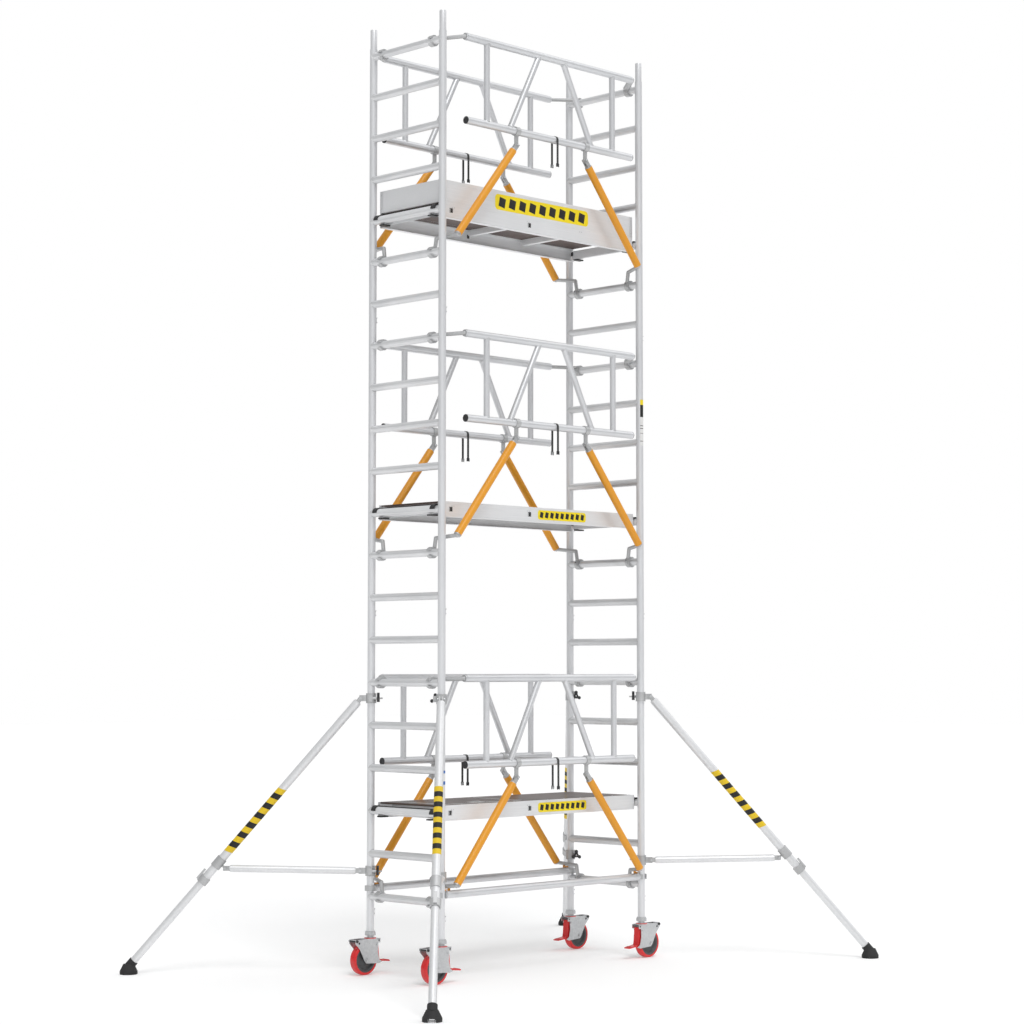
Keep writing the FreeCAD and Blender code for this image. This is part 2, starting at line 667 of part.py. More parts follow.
def hook_ends():
    """Plastic caps on the hooks' ends, the strip between them and the wind locks below."""
    pieces = []
    grip = rung_radius + mm("claw_gap")
    cap_row = platform_side - mm("beam_flange") / 2 - 3
    for end in (-1, 1):
        centre = Vector(end * half_length, 0, 0)
        for side in (-1, 1):
            middle = centre + Y_AXIS * side * cap_row
            across = Y_AXIS * (mm("beam_flange") / 2)
            shell = rod("cap_outside", grip + mm("hook_cap_wall"), middle - across, middle + across)
            bore = rod("cap_bore", grip, middle - across, middle + across)
            below = block("cap_below", (120, mm("beam_flange") + 2, 60), middle - Z_AXIS * 30)
            inward_place = middle - X_AXIS * end * (rung_radius + mm("platform_end_gap") + 29.5)
            inward = block("cap_inward", (60, mm("beam_flange") + 2, 90), inward_place)
            holes = group("cap_tools", [bore, below, inward])
            pieces.append(cut("hook_cap", shell, holes))
            lock_place = middle - Y_AXIS * side * 42 + Vector(-end * 14, 0, -rung_radius - 10.7)
            pieces.append(block("wind_lock", (64, 40, 9), lock_place))
        strip_length = 2 * (platform_side - mm("beam_flange") - 4)
        strip_place = centre + Z_AXIS * (grip + mm("hook_wall") + 2.8)
        pieces.append(block("end_strip", (16, strip_length, 5), strip_place))
    return pieces


beam_pieces = platform_frame()
deck_pieces = deck_panel()
hatch_pieces = hatch_panel()
cap_pieces = group("hook_end_set", hook_ends())
deck_set = group("deck_set", deck_pieces)
placed_decks = []
placed_caps = []
for level, level_name in enumerate(LEVELS):
    place = Placement(Vector(0, 0, rung_height(rungs_per_frame * level + 2)), Rotation())
    sub_part(f"platform_frame_{level_name}", beam_pieces, place)
    sub_part(f"platform_hatch_{level_name}", hatch_pieces, place)
    deck = group("placed_deck", [deck_set])
    deck.Placement = place
    placed_decks.append(deck)
    caps = group("placed_caps", [cap_pieces])
    caps.Placement = place
    placed_caps.append(caps)
sub_part("platform_decks", placed_decks)
sub_part("platform_hook_ends", placed_caps)


# ---------------------------------------------------------------- toe boards
def toe_boards():
    """Two long and two short boards that stand on the top platform's edge."""
    thickness = mm("toe_board_thickness")
    deck_top = rung_height(rungs_per_frame * 2 + 2) + mm("beam_above_rung") + 0.3
    height = deck_top + mm("toe_board_height") / 2
    long_size = (2 * platform_end, "Sizes.toe_board_thickness", "Sizes.toe_board_height")
    short_length = 2 * (platform_side - thickness)
    short_size = ("Sizes.toe_board_thickness", short_length, "Sizes.toe_board_height")
    pieces = []
    for sign in (-1, 1):
        row = sign * (platform_side - thickness / 2)
        pieces.append(block("long_toe_board", long_size, Vector(0, row, height)))
        end = sign * (platform_end - thickness / 2)
        pieces.append(block("short_toe_board", short_size, Vector(end, 0, height)))
    return pieces


sub_part("toe_boards", toe_boards())


# ---------------------------------------------------------------- straps
def strap():
    """Flat webbing looped over the lower rail, its two tails hanging down, with a buckle on each."""
    radius = mm("rail_diameter") / 2 + mm("claw_gap")
    wall = mm("strap_thickness")
    across = X_AXIS * (mm("strap_width") / 2)
    centre = Vector(mm("strap_place"), 0, lower_rail_height)
    outside = rod("strap_outside", radius + wall, centre - across, centre + across)
    inside = rod("strap_inside", radius, centre - across, centre + across)
    lower_size = ("Sizes.strap_width + 2", 4 * radius, 2 * radius)
    lower_half = block("strap_lower_half", lower_size, centre - Z_AXIS * radius)
    pieces = [cut("strap_loop", cut("strap_loop_ring", outside, inside), lower_half)]
    for side in (-1, 1):
        row = side * (radius + wall / 2)
        length = mm("strap_drop")
        tail_middle = centre + Vector(0, row, -length / 2)
        tail_size = ("Sizes.strap_width", "Sizes.strap_thickness", length)
        pieces.append(block("strap_tail", tail_size, tail_middle))
        buckle_middle = centre + Vector(0, row, -length - 12)
        pieces.append(block("buckle", (24, 7, 24), buckle_middle))
    return group("strap_set", pieces)


strap_set = strap()
placed_straps = []
for side_sign in (-1, 1):
    for level in range(len(LEVELS)):
        strapped = group("placed_strap", [strap_set])
        strapped.Placement = guardrail_place(side_sign, level)
        placed_straps.append(strapped)
sub_part("guardrail_straps", placed_straps)


# ---------------------------------------------------------------- casters
def wheel():
    """Tread and hub, turned about the axle, with the hub bored for it."""
    radius = mm("wheel_radius")
    core = radius - mm("tyre_depth")
    half = mm("wheel_width") / 2
    bore = mm("axle_radius") + mm("pin_gap")
    tread = doc.addObject("PartDesign::Body", "tread_body")
    tread_sketch = body_sketch(tread, "YZ_Plane", "tread_section")
    outline(tread_sketch, [
        (-half, core), (half, core), (half, radius - 5), (half - 7, radius), (7 - half, radius),
        (-half, radius - 5),
    ])
    revolve(tread, tread_sketch)
    hub = doc.addObject("PartDesign::Body", "hub_body")
    hub_sketch = body_sketch(hub, "YZ_Plane", "hub_section")
    boss = mm("fork_inside") / 2 - 0.5
    boss_radius = 21
    web = 9
    outline(hub_sketch, [
        (-boss, bore), (boss, bore), (boss, boss_radius), (web, boss_radius + 5), (web, core - 14),
        (half, core - 8), (half, core), (-half, core), (-half, core - 8), (-web, core - 14),
        (-web, boss_radius + 5), (-boss, boss_radius),
    ])
    revolve(hub, hub_sketch)
    centre = Placement(Vector(mm("wheel_trail"), 0, mm("wheel_radius")), Rotation())
    tread.Placement = centre
    hub.Placement = centre
    return [tread, hub]


def fork():
    """Pressed fork with its swivel head, and the axle bolt through it."""
    trail = mm("wheel_trail")
    axle_height = mm("wheel_radius")
    top = mm("fork_height")
    inside = mm("fork_inside") / 2
    wall = mm("fork_wall")
    body = doc.addObject("PartDesign::Body", "fork_body")
    cheek = body_sketch(body, "XZ_Plane", "cheek_outline")
    outline(cheek, [
        (-42, top), (trail + 97, top), (trail + 97, top - 26), (trail + 62, axle_height + 72),
        (trail + 20, axle_height - 6), (trail + 4, axle_height - 23), (-48, axle_height - 30),
        (-76, axle_height - 22), (-50, axle_height - 4), (-38, axle_height + 45),
    ])
    pad(body, cheek, 2 * (inside + wall), "cheek_pad")
    doc.recompute()
    channel = body_sketch(body, "YZ_Plane", "channel_section")
    outline(channel, [(-inside, 0), (inside, 0), (inside, top - wall), (-inside, top - wall)])
    pocket(body, channel, "channel_pocket")
    doc.recompute()
    kingpin = body_sketch(body, "XY_Plane", "kingpin_hole")
    circle(kingpin, 0, 0, mm("kingpin_radius") + mm("pin_gap"))
    pocket(body, kingpin, "kingpin_pocket")
    doc.recompute()
    axle_hole = body_sketch(body, "XZ_Plane", "axle_hole")
    circle(axle_hole, trail, axle_height, mm("axle_radius"))
    circle(axle_hole, mm("pedal_pivot_place"), mm("pedal_pivot_height"), mm("pedal_pivot_radius"))
    pocket(body, axle_hole, "axle_pocket")
    open_nose = body_sketch(body, "XY_Plane", "nose_opening")
    back, front = trail + 8, trail + 90
    outline(open_nose, [(back, -inside), (front, -inside), (front, inside), (back, inside)])
    pocket(body, open_nose, "nose_pocket")
    doc.recompute()
    end = Y_AXIS * (inside + wall + 8)
    centre = Vector(trail, 0, axle_height)
    axle = rod("axle", "Sizes.axle_radius", centre - end, centre + end)
    race_low = Vector(0, 0, top)
    race_high = race_low + Z_AXIS * mm("race_height")
    race_outside = rod("race_outside", "Sizes.swivel_race_radius", race_low, race_high)
    race_bore = rod("race_bore", "Sizes.kingpin_radius + Sizes.pin_gap", race_low, race_high)
    race = cut("swivel_race", race_outside, race_bore)
    pivot = Vector(mm("pedal_pivot_place"), 0, mm("pedal_pivot_height"))
    pedal_pin = rod("pedal_pin", "Sizes.pedal_pivot_radius", pivot - end, pivot + end)
    return [body, axle, race, pedal_pin]


def jack_leg():
    """Threaded spindle that slides in the stile, with its flange and the kingpin below."""
    low = Vector(0, 0, mm("fork_height") + mm("race_height") + 0.3)
    high = low + Z_AXIS * mm("spindle_length")
    radius = "Sizes.stile_diameter / 2 - Sizes.stile_wall - Sizes.spindle_gap"
    spindle = rod("spindle", radius, low, high)
    bore = rod("spindle_bore", radius + " - Sizes.spindle_wall", low + Z_AXIS * 12, high)
    pin_low = Vector(0, 0, mm("fork_height") - 14)
    kingpin = rod("kingpin", "Sizes.kingpin_radius", pin_low, low + Z_AXIS * 4)
    return [fuse("jack_leg", [cut("hollow_spindle", spindle, bore), kingpin])]


def jack_nut():
    """Adjusting nut with two ears; it bears on the stile's lower end."""
    top = mm("leg_end_height") - mm("nut_gap")
    low = top - mm("nut_height")
    collar = rod("nut_collar", "Sizes.nut_radius", Vector(0, 0, low), Vector(0, 0, top))
    ears = block("nut_ears", ("Sizes.nut_span", 16, 14), Vector(0, 0, top - 7), Rotation(Z_AXIS, 45))
    spindle_radius = "Sizes.stile_diameter / 2 - Sizes.stile_wall - Sizes.spindle_gap"
    bore_radius = spindle_radius + " + Sizes.pin_gap"
    bore = rod("nut_bore", bore_radius, Vector(0, 0, low - 5), Vector(0, 0, top + 5))
    return [cut("jack_nut", fuse("nut_blank", [collar, ears]), bore)]


def brake_pedal():
    """Bent brake lever: an upright in front of the tread and a tongue for the foot."""
    body = doc.addObject("PartDesign::Body", "pedal_body")
    profile = body_sketch(body, "XZ_Plane", "pedal_profile")
    clear = mm("wheel_trail") - mm("wheel_radius") - 4
    top = mm("fork_height") - 24
    outline(profile, [
        (-21, top), (-21, top - 25), (-34, top - 34), (clear, 128), (clear - 1, 98),
        (clear - 6, 84), (-150, 74), (-156, 78), (-150, 83), (clear - 14, 96),
        (clear - 9, 128), (clear - 3, top - 14), (-46, top),
    ])
    pivot_bore = mm("pedal_pivot_radius") + mm("pin_gap")
    circle(profile, mm("pedal_pivot_place"), mm("pedal_pivot_height"), pivot_bore)
    pad(body, profile, "Sizes.pedal_width", "pedal_pad")
    doc.recompute()
    return [body]


wheel_pieces = wheel()
fork_pieces = fork()
leg_spindle = jack_leg()
nut_pieces = jack_nut()
pedal_pieces = brake_pedal()
for corner, (x_sign, y_sign, outward_angle) in CORNERS.items():
    at = Vector(x_sign * half_length, y_sign * half_width, 0)
    place = Placement(at, Rotation(Z_AXIS, 0 if x_sign > 0 else 180))
    sub_part(f"jack_leg_{corner}", leg_spindle, place)
    sub_part(f"jack_nut_{corner}", nut_pieces, place)
    sub_part(f"caster_fork_{corner}", fork_pieces, place)
    sub_part(f"caster_wheel_{corner}", wheel_pieces, place)
    sub_part(f"brake_pedal_{corner}", pedal_pieces, place)


# ---------------------------------------------------------------- outriggers
upper_clamp_height = rung_height(5) - mm("upper_clamp_drop")
lower_clamp_height = rung_height(0) + mm("lower_clamp_rise")
foot_joint_height = mm("foot_pad_height") + 26
upper_pivot = Vector(mm("outrigger_hinge"), 0, upper_clamp_height)
foot_joint = Vector(mm("outrigger_reach"), 0, foot_joint_height)
leg_direction = (foot_joint - upper_pivot).normalize()
leg_normal = Vector(-leg_direction.z, 0, leg_direction.x)


def clamp(height, hand):
    """Cast ring round the stile with a hinge lug outwards and a bolt ear at one side."""
    grip = stile_radius + mm("claw_gap")
    tall = mm("clamp_height")
    low = Vector(0, 0, height - tall / 2)
    high = Vector(0, 0, height + tall / 2)
    shell = rod("clamp_outside", grip + mm("clamp_wall"), low, high)
    lug_end = mm("outrigger_hinge") + 10
    lug_length = lug_end - stile_radius - mm("clamp_wall") / 2
    lug = block("clamp_lug", (lug_length, 12, 40), Vector(lug_end - lug_length / 2, 0, height))
    ear = block("clamp_ear", (26, 28, 40), Vector(0, hand * (mm("clamp_bolt_offset") - 1), height))
    bore = rod("clamp_bore", grip, low - Z_AXIS, high + Z_AXIS)
    hinge = Vector(mm("outrigger_hinge"), 0, height)
    across = Y_AXIS * 30
    hinge_hole = rod("clamp_hinge_hole", "Sizes.leg_pin_diameter / 2", hinge - across, hinge + across)
    bolt_row = Vector(0, hand * mm("clamp_bolt_offset"), height)
    along = X_AXIS * 40
    bolt_hole = rod("clamp_bolt_hole", "Sizes.clamp_bolt_radius", bolt_row - along, bolt_row + along)
    tools = group("clamp_tools", [bore, hinge_hole, bolt_hole])
    casting = cut("clamp", fuse("clamp_blank", [shell, lug, ear]), tools)
    bolt_low = bolt_row - X_AXIS * (mm("knob_place") + 37)
    bolt = rod("clamp_bolt", "Sizes.clamp_bolt_radius", bolt_low, bolt_row + X_AXIS * 20)
    washer_start = bolt_row - X_AXIS * 13
    washer_end = bolt_row - X_AXIS * (mm("knob_place") - 0.5)
    washer_outside = rod("washer_outside", 9, washer_start, washer_end)
    washer_bore = rod("washer_bore", "Sizes.clamp_bolt_radius", washer_start, washer_end)
    washer = cut("clamp_washer", washer_outside, washer_bore)
    return [casting, bolt, washer]


def hinge_fork(joint, direction, plug_radius, name):
    """Forked end that plugs into a tube, round a clamp's lug, with its pin."""
    turn = Rotation(Z_AXIS, direction)
    plug = rod(name + "_plug", plug_radius, joint + direction * 30, joint + direction * 70)
    blank = block(name + "_blank", (30, "Sizes.fork_width", 50), joint + direction * 11, turn)
    cheeks = fuse(name + "_cheeks", [plug, blank])
    slot = block(name + "_slot", (60, "Sizes.fork_slot_width", 50), joint + direction, turn)
    across = Y_AXIS * 30
    hole = rod(name + "_hole", "Sizes.leg_pin_diameter / 2", joint - across, joint + across)
    tools = group(name + "_tools", [slot, hole])
    pin_reach = Y_AXIS * 19
    pin = rod(name + "_pin", "Sizes.leg_pin_diameter / 2", joint - pin_reach, joint + pin_reach)
    return [cut(name, cheeks, tools), pin]


def outrigger_frame(hand):
    """Outer leg, arm, the two clamps, the arm's sleeve and the clamping collar for the inner leg."""
    pieces = clamp(upper_clamp_height, hand) + clamp(lower_clamp_height, hand)
    outer_start = upper_pivot + leg_direction * mm("fork_reach")
    outer_end = upper_pivot + leg_direction * mm("outer_leg_length")
    pieces.append(tube("outer_leg", "outer_leg_diameter", "outer_leg_wall", outer_start, outer_end))
    leg_plug = "Sizes.outer_leg_diameter / 2 - Sizes.outer_leg_wall - Sizes.inner_leg_gap"
    pieces += hinge_fork(upper_pivot, leg_direction, leg_plug, "leg_fork")
    grip = mm("outer_leg_diameter") / 2 + mm("claw_gap")
    sleeve_middle = upper_pivot + leg_direction * mm("sleeve_place")
    half = leg_direction * 38
    sleeve = rod("sleeve_outside", grip + 6, sleeve_middle - half, sleeve_middle + half)
    sleeve_bore = rod("sleeve_bore", grip, sleeve_middle - half * 1.2, sleeve_middle + half * 1.2)
    arm_end = sleeve_middle - leg_normal * (grip + 30)
    lug_middle = sleeve_middle - leg_normal * (grip + 22)
    lug = block("sleeve_lug", (12, 12, 44), lug_middle, Rotation(Z_AXIS, leg_normal))
    across = Y_AXIS * 30
    pin_radius = "Sizes.leg_pin_diameter / 2"
    arm_pin_hole = rod("sleeve_pin_hole", pin_radius, arm_end - across, arm_end + across)
    sleeve_tools = group("sleeve_tools", [sleeve_bore, arm_pin_hole])
    pieces.append(cut("sleeve", fuse("sleeve_blank", [sleeve, lug]), sleeve_tools))
    lower_pivot = Vector(mm("outrigger_hinge"), 0, lower_clamp_height)
    arm_direction = (arm_end - lower_pivot).normalize()
    arm_start = lower_pivot + arm_direction * mm("fork_reach")
    arm_stop = arm_end - arm_direction * mm("fork_reach")
    pieces.append(tube("arm", "outrigger_arm_diameter", "inner_leg_wall", arm_start, arm_stop))
    arm_plug = "Sizes.outrigger_arm_diameter / 2 - Sizes.inner_leg_wall - Sizes.plug_gap"
    pieces += hinge_fork(lower_pivot, arm_direction, arm_plug, "arm_fork")
    pieces += hinge_fork(arm_end, arm_direction * -1, arm_plug, "sleeve_fork")
    collar_middle = outer_end - leg_direction * 2
    collar_low = collar_middle - leg_direction * 24
    collar_high = collar_middle + leg_direction * 26
    collar = rod("leg_collar_outside", grip + 7, collar_low, collar_high)
    bore_reach = leg_direction * 30
    collar_bore = rod("leg_collar_bore", grip, collar_middle - bore_reach, collar_middle + bore_reach)
    lever_middle = collar_middle + leg_normal * (grip + 12) - leg_direction * 18
    lever = block("leg_lever", (14, 22, 80), lever_middle, Rotation(Z_AXIS, leg_direction))
    pieces.append(cut("leg_collar", fuse("leg_collar_blank", [collar, lever]), collar_bore))
    return pieces


def inner_leg():
    """Telescopic inner leg with its rubber foot."""
    radius = "Sizes.outer_leg_diameter / 2 - Sizes.outer_leg_wall - Sizes.inner_leg_gap"
    start = upper_pivot + leg_direction * (mm("outer_leg_length") - mm("inner_leg_overlap"))
    end = foot_joint - leg_direction * 4
    outside = rod("inner_leg_outside", radius, start, end)
    bore = rod("inner_leg_bore", radius + " - Sizes.inner_leg_wall", start, end)
    leg = cut("inner_leg", outside, bore)
    base = Vector(foot_joint.x, 0, 0)
    pad_disc = rod("foot_pad", "Sizes.foot_radius", base, base + Z_AXIS * mm("foot_pad_height"))
    dome = doc.addObject("Part::Cone", "foot_dome")
    bind(dome, "Radius1", "Sizes.foot_radius")
    bind(dome, "Radius2", "Sizes.foot_radius * 0.62")
    bind(dome, "Height", "Sizes.foot_dome_height")
    dome.Placement = Placement(base + Z_AXIS * mm("foot_pad_height"), Rotation())
    socket = rod("foot_socket", radius, foot_joint - leg_direction * 90, end)
    boot = rod("foot_boot", radius + " + 6", foot_joint - leg_direction * 52, foot_joint)
    foot = cut("foot", fuse("foot_blank", [pad_disc, dome, boot]), socket)
    return [leg, foot]


def knob(height, hand):
    """Three-lobed hand knob on the clamp's bolt."""
    middle = Vector(0, hand * mm("clamp_bolt_offset"), height)
    start = middle - X_AXIS * mm("knob_place")
    stop = start - X_AXIS * mm("knob_thickness")
    radius = mm("knob_radius")
    web_size = (mm("knob_thickness"), radius * 0.4, radius * 0.7)
    pieces = [rod("knob_hub", "Sizes.knob_radius * 0.42", start, stop)]
    for lobe in range(3):
        angle = math.radians(90 + 120 * lobe)
        ray = Vector(0, math.cos(angle), math.sin(angle)) * (radius * 0.68)
        web_middle = (start + stop) * 0.5 + ray * 0.5
        pieces.append(rod("knob_lobe", "Sizes.knob_radius * 0.32", start + ray, stop + ray))
        pieces.append(block("knob_web", web_size, web_middle, Rotation(Z_AXIS, ray)))
    bore_end = middle - X_AXIS * 90
    bore = rod("knob_bore", "Sizes.clamp_bolt_radius + Sizes.pin_gap", middle, bore_end)
    return [cut("knob", fuse("knob_blank", pieces), bore)]


inner_leg_pieces = inner_leg()
handed_pieces = {}
for hand in (-1, 1):
    upper_knob = knob(upper_clamp_height, hand)
    lower_knob = knob(lower_clamp_height, hand)
    handed_pieces[hand] = (outrigger_frame(hand), upper_knob, lower_knob)
for corner, (x_sign, y_sign, outward_angle) in CORNERS.items():
    at = Vector(x_sign * half_length, y_sign * half_width, 0)
    place = Placement(at, Rotation(Z_AXIS, outward_angle))
    frame_set, upper_knob, lower_knob = handed_pieces[-x_sign * y_sign]
    sub_part(f"outrigger_{corner}", frame_set, place)
    sub_part(f"outrigger_inner_leg_{corner}", inner_leg_pieces, place)
    sub_part(f"upper_knob_{corner}", upper_knob, place)
    sub_part(f"lower_knob_{corner}", lower_knob, place)


# ---------------------------------------------------------------- check and write
doc.recompute()
for thing in doc.Objects:
    if "Invalid" in thing.State or "Error" in thing.State:
        raise RuntimeError(f"{thing.Label} could not be built: {thing.State}")
for part in sub_parts:
    if part.Shape.isNull() or not part.Shape.isValid():
        raise RuntimeError(f"{part.Label} has no valid shape")
for part in sub_parts:
    part.Shape.exportStep(f"parts/{part.Label}.step")
print(len(sub_parts), "sub-parts written")
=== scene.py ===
import math
import json

import bmesh
import bpy
from mathutils import Matrix, Vector


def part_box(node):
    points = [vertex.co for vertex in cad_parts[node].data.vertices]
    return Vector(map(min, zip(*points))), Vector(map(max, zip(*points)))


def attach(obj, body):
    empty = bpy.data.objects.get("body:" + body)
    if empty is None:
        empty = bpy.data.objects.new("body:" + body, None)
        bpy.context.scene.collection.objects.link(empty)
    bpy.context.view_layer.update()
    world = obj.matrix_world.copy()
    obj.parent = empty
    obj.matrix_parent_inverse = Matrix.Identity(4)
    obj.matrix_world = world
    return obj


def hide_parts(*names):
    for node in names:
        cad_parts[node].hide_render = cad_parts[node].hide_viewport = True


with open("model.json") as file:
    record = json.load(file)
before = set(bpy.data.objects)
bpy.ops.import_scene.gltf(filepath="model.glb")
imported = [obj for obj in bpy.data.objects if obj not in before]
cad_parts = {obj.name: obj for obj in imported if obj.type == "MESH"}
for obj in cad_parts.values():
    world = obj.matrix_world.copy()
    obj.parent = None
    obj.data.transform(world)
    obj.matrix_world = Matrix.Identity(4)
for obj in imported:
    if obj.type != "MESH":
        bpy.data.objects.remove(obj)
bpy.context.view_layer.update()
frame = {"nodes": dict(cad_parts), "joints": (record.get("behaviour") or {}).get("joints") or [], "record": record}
at = Matrix.Translation


def vec(x, y, z):
    """A vector from its three parts."""
    return Vector((x, y, z))


def spin(angle, axis):
    """A turn about one axis, as a matrix."""
    return Matrix.Rotation(angle, 4, axis)


# ---------------------------------------------------------------- camera
# A long lens a little above head height looks across the near left corner of the tower,
# tipped up slightly, so that the whole tower and both near outriggers are in view.
camera_data = bpy.data.cameras.new("viewpoint")
camera_data.lens = 82.0
camera_data.sensor_width = 36.0
camera_data.clip_end = 100.0
camera = bpy.data.objects.new("viewpoint", camera_data)
camera.location = (-11.225, -11.272, 2.00)
camera.rotation_euler = (math.radians(90 + 3.842), 0, math.radians(-44.94))
bpy.context.scene.collection.objects.link(camera)
bpy.context.scene.camera = camera


# ---------------------------------------------------------------- straps
# A webbing strap is thrown over each lower rail and its two tails hang down, each with a buckle.
# It is woven polyester, and it ties the folded legs to the rail for transport.
mounts = {mount["name"]: mount for mount in frame["record"]["mounts"]}
joints = {joint["name"]: joint for joint in frame["joints"]}
half_length, half_width, _ = mounts["top_spigot_right_far"]["pos_m"]
LEVELS = ("lower", "middle", "upper")
SIDES = {"near": -1, "far": 1}
RAIL_RADIUS = 0.025
RAIL_ROW = half_width + 0.0254 + 0.010 + RAIL_RADIUS
TOP_RAIL_RISE = 1.430
LOWER_RAIL_RISE = 0.875
STRAP_OFFSET = 0.035
STRAP_GAP = 0.0004
STRAP_WIDTH = 0.018
STRAP_THICKNESS = 0.002
STRAP_DROP = 0.165


def feed(tree, socket, value):
    """Wires a socket to a value's own socket, or sets it."""
    if isinstance(value, bpy.types.NodeSocket):
        tree.links.new(value, socket)
    else:
        socket.default_value = value


def new_node(tree, kind, settings=None, **inputs):
    """A node whose inputs are wired or set; a socket's name has underscores for its spaces."""
    made = tree.nodes.new(kind)
    for word, value in (settings or {}).items():
        setattr(made, word, value)
    for word, value in inputs.items():
        feed(tree, made.inputs[word.replace("_", " ")], value)
    return made


def add(tree, kind, settings=None, **inputs):
    """The first output of a new node."""
    return new_node(tree, kind, settings, **inputs).outputs[0]


def point_parts(tree):
    """The X, Y and Z of each point, as outputs."""
    spot = tree.nodes.new("GeometryNodeInputPosition").outputs[0]
    return new_node(tree, "ShaderNodeSeparateXYZ", Vector=spot).outputs


def calc(tree, operation, *values):
    """The result of a Math node."""
    made = new_node(tree, "ShaderNodeMath", {"operation": operation})
    for socket, value in zip(made.inputs, values):
        feed(tree, socket, value)
    return made.outputs[0]


def finish_of(name, colour, shade, rough, grain, depth, metallic=0.0, coat=0.0, broad=2.5):
    """A finish that drifts between two colours, with a grain that also sets its gloss and relief."""
    made = bpy.data.materials.new(name)
    made.use_nodes = True
    tree = made.node_tree
    shader = tree.nodes["Principled BSDF"]
    shader.inputs["Metallic"].default_value = metallic
    shader.inputs["Coat Weight"].default_value = coat
    place = tree.nodes.new("ShaderNodeTexCoord").outputs["Object"]
    scale = grain if isinstance(grain, tuple) else (grain, grain, grain)
    stretched = add(tree, "ShaderNodeMapping", Vector=place, Scale=scale)
    fine = add(tree, "ShaderNodeTexNoise", Vector=stretched, Scale=1.0, Detail=4.0)
    cloud = add(tree, "ShaderNodeTexNoise", Vector=place, Scale=broad, Detail=3.0)
    drift = calc(tree, "MULTIPLY_ADD", fine, 0.45, calc(tree, "MULTIPLY", cloud, 0.55))
    ramp = new_node(tree, "ShaderNodeValToRGB", Fac=drift)
    for stop, (position, tint) in zip(ramp.color_ramp.elements, ((0.32, shade), (0.62, colour))):
        stop.position = position
        stop.color = (*tint, 1)
    gloss = add(
        tree, "ShaderNodeMapRange", Value=drift, To_Min=rough + 0.12, To_Max=max(0.05, rough - 0.08))
    relief = add(tree, "ShaderNodeBump", Height=fine, Strength=0.6, Distance=depth)
    for word, output in (("Base Color", ramp.outputs[0]), ("Roughness", gloss), ("Normal", relief)):
        tree.links.new(output, shader.inputs[word])
    return made


def placed(name, mesh, body):
    """A mesh as a visible piece that rides on a body."""
    piece = bpy.data.objects.new(name, mesh)
    bpy.context.scene.collection.objects.link(piece)
    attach(piece, body)
    return piece


def shaped(name, shape, body, finishes, crease=35):
    """A finished piece from a bmesh, smooth but for its sharp edges."""
    mesh = bpy.data.meshes.new(name)
    shape.to_mesh(mesh)
    shape.free()
    for finish in finishes:
        mesh.materials.append(finish)
    mesh.shade_smooth()
    mesh.set_sharp_from_angle(angle=math.radians(crease))
    return placed(name, mesh, body)


def block(shape, size, place, edge=0.001, wear=0):
    """A block with rounded edges, added to a bmesh."""
    made = bmesh.ops.create_cube(shape, size=1.0, matrix=place @ Matrix.Diagonal((*size, 1)))
    faces = {face for vert in made["verts"] for face in vert.link_faces}
    for face in faces:
        face.material_index = wear
    edges = {line for vert in made["verts"] for line in vert.link_edges}
    bmesh.ops.bevel(shape, geom=list(edges), offset=edge, segments=2, affect="EDGES", profile=0.5)


def skin(shape, rings, wear=0, closed=False):
    """Joins rings of points into a solid with two ends, or into one whose last ring meets its first."""
    loops = [[shape.verts.new(point) for point in ring] for ring in rings]
    pairs = list(zip(loops, loops[1:]))
    if closed:
        pairs.append((loops[-1], loops[0]))
    made = []
    for low, high in pairs:
        for here in range(len(low)):
            after = (here + 1) % len(low)
            made.append(shape.faces.new((low[here], low[after], high[after], high[here])))
    if not closed:
        made += [shape.faces.new(loops[0][::-1]), shape.faces.new(loops[-1])]
    for face in made:
        face.material_index = wear
    bmesh.ops.recalc_face_normals(shape, faces=made)


def turned(shape, profile, place, steps=32, wear=0, ring=False):
    """A shape turned about its own Z from (radius, height) points, or a ring with that outline."""
    angles = [2 * math.pi * step / steps for step in range(steps)]
    rings = [
        [place @ vec(radius * math.cos(angle), radius * math.sin(angle), height) for angle in angles]
        for radius, height in profile]
    skin(shape, rings, wear, ring)


def disc(shape, radius, height, place, steps, wear=0):
    """A plain round plate that stands on its place."""
    turned(shape, ((radius, 0.0), (radius, height)), place, steps, wear)


def mirrored(profile, middle=()):
    """A profile below its middle, that middle, and the same profile above it."""
    above = [(radius, -height) for radius, height in reversed(profile)]
    return (*profile, *middle, *above)


def facing(place, along):
    """A place whose Z points along a direction."""
    return at(place) @ Vector(along).normalized().to_track_quat("Z", "Y").to_matrix().to_4x4()


webbing = finish_of(
    "black_webbing_weave", (0.022, 0.022, 0.024), (0.010, 0.010, 0.011), 0.82, (500, 500, 900), 0.0003)
webbing_tree = webbing.node_tree
strap_coord = webbing_tree.nodes.new("ShaderNodeTexCoord").outputs["Object"]
weave = new_node(
    webbing_tree, "ShaderNodeTexWave", {"bands_direction": "Z"}, Vector=strap_coord, Scale=160.0)
rows = new_node(
    webbing_tree, "ShaderNodeTexWave", {"bands_direction": "X"}, Vector=strap_coord, Scale=220.0)
cloth = calc(webbing_tree, "MULTIPLY", weave.outputs["Fac"], rows.outputs["Fac"])
webbing_tree.links.new(cloth, webbing_tree.nodes["Bump"].inputs["Height"])
webbing_tree.nodes["Principled BSDF"].inputs["Sheen Weight"].default_value = 0.35
buckle_plastic = finish_of(
    "buckle_plastic", (0.030, 0.030, 0.032), (0.018, 0.018, 0.020), 0.38, 900, 0.0001)
zinc = finish_of("zinc_plate", (0.66, 0.67, 0.68), (0.50, 0.51, 0.52), 0.34, 420, 0.00008, 0.9)


